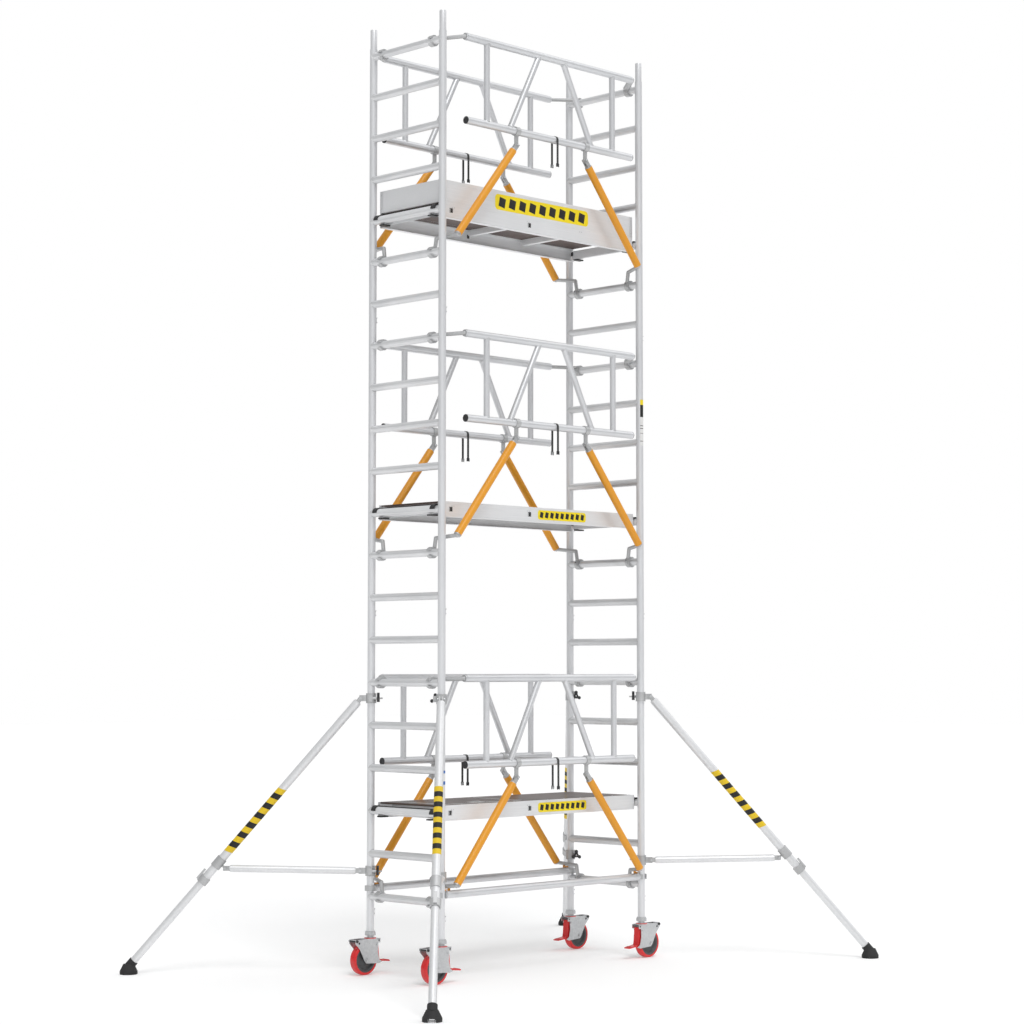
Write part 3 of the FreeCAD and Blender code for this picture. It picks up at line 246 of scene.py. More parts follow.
def webbing_strip(route, width, thickness):
    """A flat band along a route in a plane across X, as a closed mesh."""
    rings = []
    across = vec(width / 2, 0, 0)
    for index, point in enumerate(route):
        ahead = route[min(index + 1, len(route) - 1)] - route[max(index - 1, 0)]
        outward = vec(1, 0, 0).cross(ahead).normalized() * (thickness / 2)
        rings.append(
            [point + across + outward, point - across + outward, point - across - outward,
            point + across - outward])
    shape = bmesh.new()
    skin(shape, rings)
    return shape


def buckle(shape, top, wear):
    """Side-release buckle: a frame with two bars, and prongs at its lower end."""
    block(shape, (0.024, 0.007, 0.005), at(top - vec(0, 0, 0.003)), 0.0012, wear)
    for side in (-1, 1):
        block(shape, (0.004, 0.007, 0.024), at(top + vec(side * 0.010, 0, -0.012)), 0.0012, wear)
    block(shape, (0.016, 0.005, 0.018), at(top - vec(0, 0, 0.014)), 0.0012, wear)


rail_places = {}
for side_name, side_sign in SIDES.items():
    for level_name in LEVELS:
        top_of_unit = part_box(f"guardrail_{side_name}_{level_name}")[1].z
        base = top_of_unit - RAIL_RADIUS - TOP_RAIL_RISE
        rail_places[side_name, level_name] = vec(0, side_sign * RAIL_ROW, base + LOWER_RAIL_RISE)

strap_reach = RAIL_RADIUS + STRAP_GAP + STRAP_THICKNESS / 2
strap_pieces = []
for (side_name, level_name), rail in rail_places.items():
    centre = rail - vec(SIDES[side_name] * STRAP_OFFSET, 0, 0)
    over = []
    for step in range(17):
        angle = math.pi - math.pi * step / 16
        over.append(centre + vec(0, math.cos(angle), math.sin(angle)) * strap_reach)
    strap_pieces.append(
        shaped(f"strap_loop_{side_name}_{level_name}", webbing_strip(over, STRAP_WIDTH,
        STRAP_THICKNESS), "tower", [webbing]))
    for end_name, row, wear in (("outer", -1, 0), ("inner", 1, 1)):
        tail_top = centre + vec(0, row * strap_reach, 0)
        route = [tail_top - vec(0, 0, STRAP_DROP * step / 12) for step in range(13)]
        tail = shaped(
            f"strap_tail_{side_name}_{level_name}_{end_name}",
            webbing_strip(route, STRAP_WIDTH, STRAP_THICKNESS), "tower", [webbing])
        clip_shape = bmesh.new()
        buckle(clip_shape, route[-1] + vec(0, 0, 0.002), wear)
        clip = shaped(f"strap_buckle_{side_name}_{level_name}_{end_name}", clip_shape, "tower",
                      [buckle_plastic, zinc])
        strap_pieces += [tail, clip]
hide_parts("guardrail_straps")


# ---------------------------------------------------------------- floor and lights
# The tower stands on a plain pale floor that runs far out behind it, under wide soft studio lights.
floor_shape = bmesh.new()
bmesh.ops.create_grid(floor_shape, x_segments=2, y_segments=2, size=60.0)
floor_mesh = bpy.data.meshes.new("studio_floor")
floor_shape.to_mesh(floor_mesh)
floor_shape.free()
studio_floor = bpy.data.objects.new("studio_floor", floor_mesh)
bpy.context.scene.collection.objects.link(studio_floor)
floor_paint = bpy.data.materials.new("studio_floor_paint")
floor_paint.use_nodes = True
floor_paint.node_tree.nodes["Principled BSDF"].inputs["Base Color"].default_value = (
    0.90, 0.90, 0.90, 1)
floor_paint.node_tree.nodes["Principled BSDF"].inputs["Roughness"].default_value = 0.85
floor_paint.node_tree.nodes["Principled BSDF"].inputs["Emission Color"].default_value = (1, 1, 1, 1)
floor_paint.node_tree.nodes["Principled BSDF"].inputs["Emission Strength"].default_value = 0.14
floor_mesh.materials.append(floor_paint)
studio = bpy.data.worlds.new("studio")
studio.use_nodes = True
sky = studio.node_tree
seen = sky.nodes["Background"]
seen.inputs["Color"].default_value = (1.0, 1.0, 1.0, 1)
seen.inputs["Strength"].default_value = 1.0
direction = sky.nodes.new("ShaderNodeTexCoord").outputs["Generated"]
heading = new_node(sky, "ShaderNodeSeparateXYZ", Vector=direction)
side_wall = calc(sky, "ABSOLUTE", calc(sky, "SUBTRACT", heading.outputs[0], heading.outputs[1]))
height_glow = calc(sky, "MULTIPLY_ADD", heading.outputs[2], 0.30, 0.62)
room_light = calc(sky, "MULTIPLY_ADD", side_wall, -0.22, height_glow)
room = new_node(sky, "ShaderNodeBackground", Color=(0.99, 0.995, 1.0, 1), Strength=room_light)
rays = sky.nodes.new("ShaderNodeLightPath").outputs["Is Camera Ray"]
both = new_node(sky, "ShaderNodeMixShader", Fac=rays)
sky.links.new(room.outputs[0], both.inputs[1])
sky.links.new(seen.outputs[0], both.inputs[2])
sky.links.new(both.outputs[0], sky.nodes["World Output"].inputs["Surface"])
bpy.context.scene.world = studio
bpy.context.scene.view_settings.view_transform = "Standard"
for light_name, light_aim, light_power, light_angle in (
        ("key", (0.35, 0.75, -1.1), 1.10, 24.0), ("fill", (-0.9, 0.35, -0.8), 0.35, 40.0)):
    lamp = bpy.data.lights.new(light_name, "SUN")
    lamp.energy = light_power
    lamp.angle = math.radians(light_angle)
    light = bpy.data.objects.new(light_name, lamp)
    light.matrix_world = facing((0, 0, 9), -Vector(light_aim))
    bpy.context.scene.collection.objects.link(light)


# ---------------------------------------------------------------- ladder frames
# Each end frame is welded from two drawn aluminium tubes and seven ribbed rungs, with a weld bead
# round both ends of every rung, a spigot pressed into each stile's top and a spring lock at its foot.
STILE_RADIUS = 0.0254
RUNG_RADIUS = 0.025
RUNG_PITCH = 0.28
FIRST_RUNG = 0.227
FRAME_HEIGHT = 7 * RUNG_PITCH
SPIGOT_RISE = 0.133
SPIGOT_RADIUS = 0.0224
SPIGOT_TIP = 0.0209
SPIGOT_BORE = 0.0200
SPIGOT_TOP_EDGE = 0.004
LOCK_PIN_RADIUS = 0.0042
LOCK_HEIGHT = 0.112

stile_tube = finish_of(
    "stile_tube", (0.80, 0.807, 0.825), (0.70, 0.708, 0.725), 0.38, (200, 200, 3), 0.00006, 0.50)
rung_tube = finish_of(
    "rung_tube", (0.78, 0.785, 0.795), (0.63, 0.638, 0.65), 0.40, (240, 3, 240), 0.00012, 0.55)
weld = finish_of("weld_bead", (0.72, 0.725, 0.73), (0.50, 0.505, 0.51), 0.42, 350, 0.00030, 0.7)
socket_dark = finish_of("hole_shadow", (0.012, 0.012, 0.013), (0.008, 0.008, 0.009), 0.85, 200, 0.0001)


def new_tree(name, sizes):
    """A node tree with a named input for each size; its inputs' sockets come back by name."""
    tree = bpy.data.node_groups.new(name, "GeometryNodeTree")
    tree.interface.new_socket("Geometry", in_out="OUTPUT", socket_type="NodeSocketGeometry")
    for word, number in sizes.items():
        kind = "NodeSocketInt" if isinstance(number, int) else "NodeSocketFloat"
        tree.interface.new_socket(word, in_out="INPUT", socket_type=kind).default_value = number
    inside = tree.nodes.new("NodeGroupInput")
    return tree, {word: inside.outputs[word] for word in sizes}


def close_tree(tree, parts):
    """The tree, ended with its parts joined, each with its finish."""
    joined = tree.nodes.new("GeometryNodeJoinGeometry")
    for part, finish in parts:
        real = add(tree, "GeometryNodeRealizeInstances", Geometry=part)
        soft = add(tree, "GeometryNodeSetShadeSmooth", Geometry=real)
        worn = add(tree, "GeometryNodeSetMaterial", Geometry=soft, Material=finish)
        tree.links.new(worn, joined.inputs[0])
    tree.links.new(joined.outputs[0], tree.nodes.new("NodeGroupOutput").inputs[0])
    return tree


def grown(name, tree, sizes, body, place=None, crease=40):
    """The mesh that a tree grows at these sizes, moved to its place, as a plain piece on a body."""
    seed = bpy.data.objects.new(name + "_seed", bpy.data.meshes.new(name + "_seed"))
    bpy.context.scene.collection.objects.link(seed)
    modifier = seed.modifiers.new("grow", "NODES")
    modifier.node_group = tree
    for item in tree.interface.items_tree:
        if item.in_out == "INPUT" and item.name in sizes:
            modifier[item.identifier] = sizes[item.name]
    mesh = bpy.data.meshes.new_from_object(seed.evaluated_get(bpy.context.evaluated_depsgraph_get()))
    bpy.data.objects.remove(seed)
    mesh.name = name
    mesh.transform(place or Matrix.Identity(4))
    mesh.set_sharp_from_angle(angle=math.radians(crease))
    return placed(name, mesh, body)


def vector(tree, x=0.0, y=0.0, z=0.0):
    """A vector from three numbers or sockets."""
    return add(tree, "ShaderNodeCombineXYZ", X=x, Y=y, Z=z)


def ribbed_outline(tree, radius, ribs, depth):
    """A circle whose radius rises and falls once for each rib."""
    steps = calc(tree, "MULTIPLY", ribs, 4)
    outline = add(tree, "GeometryNodeCurvePrimitiveCircle", Resolution=steps, Radius=radius)
    spot = tree.nodes.new("GeometryNodeInputPosition").outputs[0]
    across, deep, _ = point_parts(tree)
    angle = calc(tree, "ARCTAN2", deep, across)
    wave = calc(tree, "SUBTRACT", calc(tree, "COSINE", calc(tree, "MULTIPLY", angle, ribs)), 1.0)
    shift = calc(tree, "DIVIDE", calc(tree, "MULTIPLY", wave, depth), radius)
    offset = add(tree, "ShaderNodeVectorMath", {"operation": "SCALE"}, Vector=spot, Scale=shift)
    return add(tree, "GeometryNodeSetPosition", Geometry=outline, Offset=offset)


def tube_along(tree, start, end, outline):
    """A capped tube of an outline between two points."""
    line = add(tree, "GeometryNodeCurvePrimitiveLine", Start=start, End=end)
    return add(tree, "GeometryNodeCurveToMesh", Curve=line, Profile_Curve=outline, Fill_Caps=True)


def saddle_bead(tree, radius, host_radius, thick):
    """A rippled weld bead where a tube along +Z stands on a host tube along X."""
    loop = add(tree, "GeometryNodeCurvePrimitiveCircle", Resolution=72, Radius=radius)
    across = point_parts(tree)[1]
    side = calc(tree, "MULTIPLY", across, across)
    left = calc(tree, "SUBTRACT", calc(tree, "MULTIPLY", host_radius, host_radius), side)
    rise = calc(tree, "SQRT", calc(tree, "MAXIMUM", left, 0.0))
    seated = add(tree, "GeometryNodeSetPosition", Geometry=loop, Offset=vector(tree, z=rise))
    count = tree.nodes.new("GeometryNodeInputIndex").outputs[0]
    ripple = calc(
        tree, "MULTIPLY_ADD", calc(tree, "SINE", calc(tree, "MULTIPLY", count, 1.9)), 0.16, 1.0)
    swollen = add(tree, "GeometryNodeSetCurveRadius", Curve=seated, Radius=ripple)
    section = add(tree, "GeometryNodeCurvePrimitiveCircle", Resolution=6, Radius=thick)
    swept = new_node(tree, "GeometryNodeCurveToMesh", Curve=swollen, Profile_Curve=section)
    if "Scale" in swept.inputs:
        tree.links.new(ripple, swept.inputs["Scale"])
    return swept.outputs[0]


def turned_by(tree, geometry, move, turn):
    """Geometry moved and turned."""
    return add(tree, "GeometryNodeTransform", Geometry=geometry, Translation=move, Rotation=turn)


def row_of(tree, geometry, count, first, pitch):
    """Copies of a part one above the other."""
    line = add(tree, "GeometryNodeMeshLine", Count=count, Start_Location=vector(tree, z=first),
               Offset=vector(tree, z=pitch))
    return add(tree, "GeometryNodeInstanceOnPoints", Points=line, Instance=geometry)


def ladder_shape():
    """Stiles, rungs and the weld beads round the rungs' ends."""
    tree, size = new_tree(
        "ladder_frame", {"Half width": half_width, "Height": FRAME_HEIGHT, "Stile radius": STILE_RADIUS,
        "Rung radius": RUNG_RADIUS, "First rung": FIRST_RUNG, "Pitch": RUNG_PITCH, "Rungs": 7,
        "Rung ribs": 18, "Rib depth": 0.00055, "Stile grooves": 12, "Groove depth": 0.00018,
        "Bead": 0.0026})
    half = size["Half width"]
    minus_half = calc(tree, "MULTIPLY", half, -1.0)
    stile_outline = ribbed_outline(
        tree, size["Stile radius"], size["Stile grooves"], size["Groove depth"])
    rung_outline = ribbed_outline(tree, size["Rung radius"], size["Rung ribs"], size["Rib depth"])
    parts = []
    for row in (minus_half, half):
        tall = tube_along(
            tree, vector(tree, y=row), vector(tree, y=row, z=size["Height"]), stile_outline)
        parts.append((tall, stile_tube))
    rung = tube_along(tree, vector(tree, y=minus_half), vector(tree, y=half), rung_outline)
    rung_row = row_of(tree, rung, size["Rungs"], size["First rung"], size["Pitch"])
    parts.append((rung_row, rung_tube))
    bead = saddle_bead(tree, size["Rung radius"], size["Stile radius"], size["Bead"])
    quarter = math.pi / 2
    for row, turn in ((minus_half, (-quarter, quarter, 0)), (half, (quarter, quarter, 0))):
        seated_bead = turned_by(tree, bead, vector(tree, y=row), turn)
        parts.append(
            (row_of(tree, seated_bead, size["Rungs"], size["First rung"], size["Pitch"]), weld))
    return close_tree(tree, parts)


ladder_tree = ladder_shape()

for side_name, side_sign in (("left", -1), ("right", 1)):
    for level, level_name in enumerate(LEVELS):
        node = f"ladder_frame_{side_name}_{level_name}"
        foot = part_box(node)[0].z
        place = at((side_sign * half_length, 0, foot))
        ladder = grown(
            f"ladder_{side_name}_{level_name}", ladder_tree, {}, "tower", place)
        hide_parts(node)
        spigots = bmesh.new()
        for row in (-half_width, half_width):
            top = at((side_sign * half_length, row, foot + FRAME_HEIGHT))
            turned(
                spigots, ((SPIGOT_BORE, -0.01), (SPIGOT_RADIUS, -0.01),
                (SPIGOT_RADIUS, SPIGOT_RISE - SPIGOT_TOP_EDGE), (SPIGOT_TIP, SPIGOT_RISE),
                (SPIGOT_BORE, SPIGOT_RISE)), top, 40, 0, ring=True)
            hole = facing(
                (side_sign * half_length + SPIGOT_RADIUS - 0.0008, row,
                foot + FRAME_HEIGHT + LOCK_HEIGHT), (1, 0, 0))
            disc(spigots, 0.0050, 0.0011, hole, 20, 1)
            lock = (side_sign * half_length + STILE_RADIUS, row, foot + LOCK_HEIGHT)
            turned(spigots, ((LOCK_PIN_RADIUS, 0.0), (LOCK_PIN_RADIUS, 0.012), (0.0028, 0.0145)),
                   facing(lock, (1, 0, 0)), 16, 2)
            spring = at(lock) @ at((0.0035, 0, 0.008))
            block(spigots, (0.0022, 0.015, 0.036), spring, 0.0009, 2)
            tab = at(lock) @ at((0.0085, 0, 0.027)) @ spin(0.9, "Y")
            block(spigots, (0.0018, 0.015, 0.016), tab, 0.0008, 2)
        shaped(f"spigots_and_locks_{side_name}_{level_name}", spigots, "tower",
               [stile_tube, socket_dark, zinc])


# ---------------------------------------------------------------- guardrails
# Each folding guardrail is welded from two round rails, two struts and two diagonals.  Cast arms at its
# ends clip on to the rungs, and its lower rail carries two collars that the orange legs hang from.
STRUT_RADIUS = 0.020
STRUT_PLACE = 0.610
DIAGONAL_FOOT = 0.400
DIAGONAL_TOP = 0.115
COLLAR_PLACE = 0.335
RAIL_REACH = 0.800
CLAW_ROW = 0.1544
CLAW_FACE = 0.017
CLAW_BOLT = 0.0222
CLAW_LEVER = 0.0385
TOP_CLAW_DROP = 0.030
LEG_PIN_DROP = 0.095
LEG_PIN_REACH = 0.0170

rail_tube = finish_of(
    "rail_tube", (0.73, 0.737, 0.755), (0.63, 0.638, 0.655), 0.38, (3, 200, 200), 0.00006, 0.50)
cast_metal = finish_of(
    "cast_aluminium", (0.60, 0.605, 0.61), (0.44, 0.445, 0.45), 0.50, 300, 0.00035, 0.7)
plug_plastic = finish_of(
    "end_plug_plastic", (0.030, 0.030, 0.032), (0.016, 0.016, 0.017), 0.48, 700, 0.00012)


def dress(node, finishes, choose=None):
    """Finishes for a node; choose() picks one for each face from its middle."""
    mesh = frame["nodes"][node].data
    mesh.materials.clear()
    for finish in finishes:
        mesh.materials.append(finish)
    if choose:
        for face in mesh.polygons:
            face.material_index = choose(face.center)


def bead_shape():
    """Weld beads round both ends of the struts and diagonals."""
    tree, size = new_tree(
        "guardrail_beads", {"Strut radius": STRUT_RADIUS, "Rail radius": RAIL_RADIUS,
        "Strut place": STRUT_PLACE, "Diagonal foot": DIAGONAL_FOOT, "Diagonal top": DIAGONAL_TOP,
        "Rail gap": TOP_RAIL_RISE - LOWER_RAIL_RISE, "Bead": 0.0024})
    strut_bead = saddle_bead(tree, size["Strut radius"], size["Rail radius"], size["Bead"])
    lean = calc(tree, "ARCTAN2", calc(tree, "SUBTRACT", size["Diagonal foot"], size["Diagonal top"]),
                size["Rail gap"])
    parts = []
    for sign in (-1, 1):
        strut_x = calc(tree, "MULTIPLY", size["Strut place"], sign)
        foot_x = calc(tree, "MULTIPLY", size["Diagonal foot"], sign)
        top_x = calc(tree, "MULTIPLY", size["Diagonal top"], sign)
        tilt = calc(tree, "MULTIPLY", lean, -sign)
        gap = size["Rail gap"]
        for move, turn in (
                (vector(tree, x=strut_x), (0, 0, 0)), (vector(tree, x=strut_x, z=gap), (math.pi, 0, 0)),
                (vector(tree, x=foot_x), vector(tree, y=tilt)),
                (vector(tree, x=top_x, z=gap), vector(tree, x=math.pi, y=tilt))):
            parts.append((turned_by(tree, strut_bead, move, turn), weld))
    return close_tree(tree, parts)


beads_tree = bead_shape()

for (side_name, level_name), rail in rail_places.items():
    node = f"guardrail_{side_name}_{level_name}"
    sign = SIDES[side_name]
    unit = at(rail) @ spin(0 if sign < 0 else math.pi, "Z")
    home = unit.inverted()

    def cast_or_tube(middle):
        spot = home @ middle
        on_collar = abs(
            abs(spot.x) - COLLAR_PLACE) < 0.020 and math.hypot(spot.y, spot.z) > RAIL_RADIUS + 0.0002
        return int(abs(spot.x) > RAIL_REACH + 0.0005 or spot.z < -RAIL_RADIUS - 0.001 or on_collar)

    dress(node, [rail_tube, cast_metal], cast_or_tube)
    grown(f"weld_beads_{side_name}_{level_name}", beads_tree, {}, "tower", unit)
    plugs = bmesh.new()
    for end in (-1, 1):
        mouth = unit @ facing((end * RAIL_REACH, 0, 0), (end, 0, 0))
        turned(
            plugs, ((0.0225, -0.010), (0.0225, 0.0), (0.0250, 0.0003), (0.0250, 0.0028),
            (0.0236, 0.0042), (0.0120, 0.0052), (0.0100, 0.0040), (0.0030, 0.0040)), mouth, 36)
    shaped(f"rail_plugs_{side_name}_{level_name}", plugs, "tower", [plug_plastic])
    bolts = bmesh.new()
    for end in (-1, 1):
        for rise in (-LOWER_RAIL_RISE, TOP_RAIL_RISE - LOWER_RAIL_RISE - TOP_CLAW_DROP):
            claw = vec(end * half_length, CLAW_ROW, rise)
            for face_side in (-1, 1):
                head = claw + vec(-end * CLAW_BOLT, face_side * CLAW_FACE, CLAW_BOLT)
                turned(
                    bolts, ((0.0065, 0.0), (0.0065, 0.0012), (0.0050, 0.0013), (0.0050, 0.0042),
                    (0.0042, 0.0048)), unit @ facing(head, (0, face_side, 0)), 12, 0)
            lever = unit @ at(claw + vec(-end * CLAW_LEVER, 0, 0.004))
            block(bolts, (0.009, 0.016, 0.038), lever, 0.0022, 1)
            # A thin near-black disc on each claw's end is painted shadow, standing in for the claw's hole.
            hole_shadow_place = unit @ facing(claw + vec(-end * 0.0430, 0, 0.012), (-end, 0, 0))
            disc(bolts, 0.0045, 0.0006, hole_shadow_place, 14, 2)
        pin = vec(end * COLLAR_PLACE, 0, -LEG_PIN_DROP)
        for face_side in (-1, 1):
            turned(
                bolts, ((0.0090, 0.0), (0.0090, 0.0016), (0.0072, 0.0018), (0.0072, 0.0050),
                (0.0058, 0.0060)), unit @ facing(pin + vec(0, face_side * LEG_PIN_REACH, 0),
                (0, face_side, 0)), 6, 0)
    shaped(f"claw_bolts_{side_name}_{level_name}", bolts, "tower",
           [zinc, cast_metal, socket_dark])


# ---------------------------------------------------------------- brace legs
# The twelve legs that prop the guardrails are aluminium tube with a baked powder coat in orange,
# faintly pebbled, with a tone that drifts a little at random.
orange_paint = finish_of(
    "orange_powder_coat", (0.79, 0.335, 0.016), (0.73, 0.300, 0.013), 0.46, 420, 0.00016, 0.0, 0.08)
dress("guardrail_legs", [orange_paint])


# ---------------------------------------------------------------- horizontal braces
# Two tubes tie the stiles at the tower's foot.  The cast claw at each end has an orange release lever.
claw_start = half_length - STILE_RADIUS - 0.0126
dress("horizontal_braces", [rail_tube, cast_metal], lambda middle: int(abs(middle.x) > claw_start))
orange_lever = finish_of("orange_lever", (0.80, 0.33, 0.03), (0.62, 0.24, 0.02), 0.40, 600, 0.0001)
levers = bmesh.new()
brace_height = sum(point.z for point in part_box("horizontal_braces")) / 2
for end in (-1, 1):
    for side in (-1, 1):
        claw = vec(end * (half_length - 0.052), side * half_width, brace_height)
        block(levers, (0.046, 0.012, 0.010), at(claw + vec(0, 0, 0.0290)), 0.003, 0)
        block(levers, (0.016, 0.012, 0.018), at(claw + vec(-end * 0.016, 0, 0.0330)), 0.003, 0)
        turned(levers, ((0.0052, 0.0), (0.0052, 0.0035), (0.0040, 0.0045)),
               facing(claw + vec(end * 0.010, side * 0.0060, 0.0290), (0, side, 0)), 12, 1)
shaped("brace_levers", levers, "tower", [orange_lever, zinc])


# ---------------------------------------------------------------- platforms
# Each platform is two aluminium channels with a rib rolled in above and below, riveted cross members
# under a deck, hooks at both ends and black inserts in the square holes of its sides.
BEAM_TOP = 0.055
BEAM_DEPTH = 0.100
BEAM_HOLES = (-0.838, -0.110)
HOLE_SIZE = (0.0236, 0.0022, 0.0256)
CROSS_MEMBERS = (-0.818, -0.122, 0.395)

beam_metal = finish_of(
    "beam_extrusion", (0.82, 0.825, 0.835), (0.73, 0.738, 0.75), 0.44, (3, 200, 200), 0.00005, 0.30)
trim_metal = finish_of(
    "trim_extrusion", (0.80, 0.805, 0.812), (0.66, 0.668, 0.68), 0.32, 200, 0.00008, 0.6)
platform_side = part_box("toe_boards")[1].y
platform_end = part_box("toe_boards")[1].x
rung_heights = {}
for level_name in LEVELS:
    rung_heights[level_name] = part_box(f"platform_frame_{level_name}")[0].z + BEAM_DEPTH - BEAM_TOP


def rib_shape():
    """Ribs along both sides of a platform or of the boards."""
    tree, size = new_tree(
        "beam_ribs", {"Half length": platform_end, "Row": platform_side, "Upper": 0.043,
        "Lower": -0.033, "Rib": 0.0016})
    parts = []
    rib_profile = add(tree, "GeometryNodeCurvePrimitiveCircle", Resolution=10, Radius=size["Rib"])
    rib_start = calc(tree, "MULTIPLY", size["Half length"], -1.0)
    for sign in (-1, 1):
        row = calc(tree, "MULTIPLY", size["Row"], sign)
        for height in (size["Upper"], size["Lower"]):
            parts.append(
                (tube_along(tree, vector(tree, x=rib_start, y=row, z=height),
                vector(tree, x=size["Half length"], y=row, z=height), rib_profile), beam_metal))
    return close_tree(tree, parts)


rib_tree = rib_shape()


def rivet_shape():
    """A row of rivet heads along X."""
    tree, size = new_tree("rivet_row", {"Count": 7, "Pitch": 0.05, "Radius": 0.0042})
    dome_ball = add(tree, "GeometryNodeMeshUVSphere", Segments=12, Rings=8, Radius=size["Radius"])
    dome_flat = add(tree, "GeometryNodeTransform", Geometry=dome_ball, Scale=(1, 1, 0.42))
    dome_line = add(
        tree, "GeometryNodeMeshLine", Count=size["Count"], Offset=vector(tree, x=size["Pitch"]))
    dome_row = add(tree, "GeometryNodeInstanceOnPoints", Points=dome_line, Instance=dome_flat)
    return close_tree(tree, [(dome_row, zinc)])


dome_tree = rivet_shape()


def rivets(name, body, start, along, out, count, pitch, radius=0.0042):
    """A row of rivet heads from a start point, along one direction and standing out along another."""
    x_axis = Vector(along).normalized()
    z_axis = Vector(out).normalized()
    turn = Matrix((x_axis, z_axis.cross(x_axis), z_axis)).transposed().to_4x4()
    return grown(name, dome_tree, {"Count": count, "Pitch": pitch, "Radius": radius}, body,
                 at(start) @ turn, 60)


for level_name, rung_z in rung_heights.items():
    dress(f"platform_frame_{level_name}", [beam_metal])
    grown(f"beam_ribs_{level_name}", rib_tree, {}, "tower", at((0, 0, rung_z)))
    inserts = bmesh.new()
    for sign in (-1, 1):
        for place in BEAM_HOLES:
            spot = at((place, sign * (platform_side - 0.0022), rung_z + 0.005))
            block(inserts, HOLE_SIZE, spot, 0.0006)
            for dx, dz, wide, tall in ((0, 0.0137, 0.030, 0.0024), (0, -0.0137, 0.030, 0.0024),
                                       (0.0133, 0, 0.0024, 0.028), (-0.0133, 0, 0.0024, 0.028)):
                lip = spot @ at((dx, sign * 0.0026, dz))
                block(inserts, (wide, 0.0010, tall), lip, 0.0004)
    shaped(f"hole_inserts_{level_name}", inserts, "tower", [plug_plastic])
    for sign, side_name in ((-1, "near"), (1, "far")):
        for index, place in enumerate(CROSS_MEMBERS):
            start = (place - 0.009, sign * platform_side, rung_z + 0.026)
            rivets(f"beam_rivets_{level_name}_{side_name}_{index}", "tower", start, (1, 0, 0),
                   (0, sign, 0), 2, 0.018)


# ---------------------------------------------------------------- side labels
# A yellow foil label is stuck on the near side of each platform, and a large one on the top toe board.
# It carries only a plain row of black bars.
label_yellow = finish_of(
    "label_yellow", (0.88, 0.70, 0.006), (0.84, 0.64, 0.005), 0.45, 60, 0.00004, 0.0, 0.1)
label_black = finish_of("label_black", (0.010, 0.010, 0.010), (0.006, 0.006, 0.006), 0.55, 60, 0.00004)


def foil_label(name, centre, width, height, bars):
    """A round-cornered yellow foil with leaning black bars, on a face that looks towards -Y."""
    shape = bmesh.new()
    corner = height * 0.28
    rim = []
    for sign_x, sign_z, begin in ((1, 1, 0), (-1, 1, 90), (-1, -1, 180), (1, -1, 270)):
        for step in range(7):
            angle = math.radians(begin + 15 * step)
            rim.append(
                (sign_x * (width / 2 - corner) + corner * math.cos(angle),
                sign_z * (height / 2 - corner) + corner * math.sin(angle)))
    skin(shape, [[centre + vec(x, depth, z) for x, z in rim] for depth in (0, -0.0005)])
    pitch = (width - 1.2 * corner) / bars
    for bar in range(bars):
        across = (bar - (bars - 1) / 2) * pitch
        lean = at(centre + vec(across, -0.0007, 0)) @ spin(math.radians(12), "Y")
        block(shape, (pitch * 0.62, 0.0006, height * 0.60), lean, 0.0002, 1)
    return shaped(name, shape, "tower", [label_yellow, label_black])


for level_name in ("lower", "middle"):
    centre = vec(0.205, -platform_side - 0.0002, rung_heights[level_name] + 0.006)
    foil_label(f"side_label_{level_name}", centre, 0.47, 0.064, 9)
board_low, board_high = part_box("toe_boards")
foil_label("toe_board_label", vec(0.017, board_low.y - 0.0002, board_low.z + 0.068), 0.905, 0.108, 9)


# ---------------------------------------------------------------- decks and hatches
# The decks are birch plywood faced with a dark brown film that has a fine mesh pressed into its top.
# A hatch in each one swings up on a long steel hinge and has a flush ring to lift it by.
deck_film = finish_of(
    "deck_film", (0.085, 0.048, 0.036), (0.048, 0.027, 0.021), 0.46, 90, 0.0002, 0.0, 0.15)
film_tree = deck_film.node_tree
film_place = film_tree.nodes.new("ShaderNodeTexCoord").outputs["Object"]
film_turned = add(film_tree, "ShaderNodeMapping", Vector=film_place, Rotation=(0, 0, math.radians(60)))
wires = [
    new_node(film_tree, "ShaderNodeTexWave", {"bands_direction": "X"}, Vector=spot,
    Scale=70.0).outputs["Fac"] for spot in (film_place, film_turned)]
mesh_print = calc(film_tree, "MAXIMUM", *wires)
film_tree.links.new(mesh_print, film_tree.nodes["Bump"].inputs["Height"])
HINGE_ROW = 0.2165
HATCH_MIDDLE = -0.470
HATCH_REACH = 0.336
HATCH_NEAR = -0.215
BOW_STEPS = 24

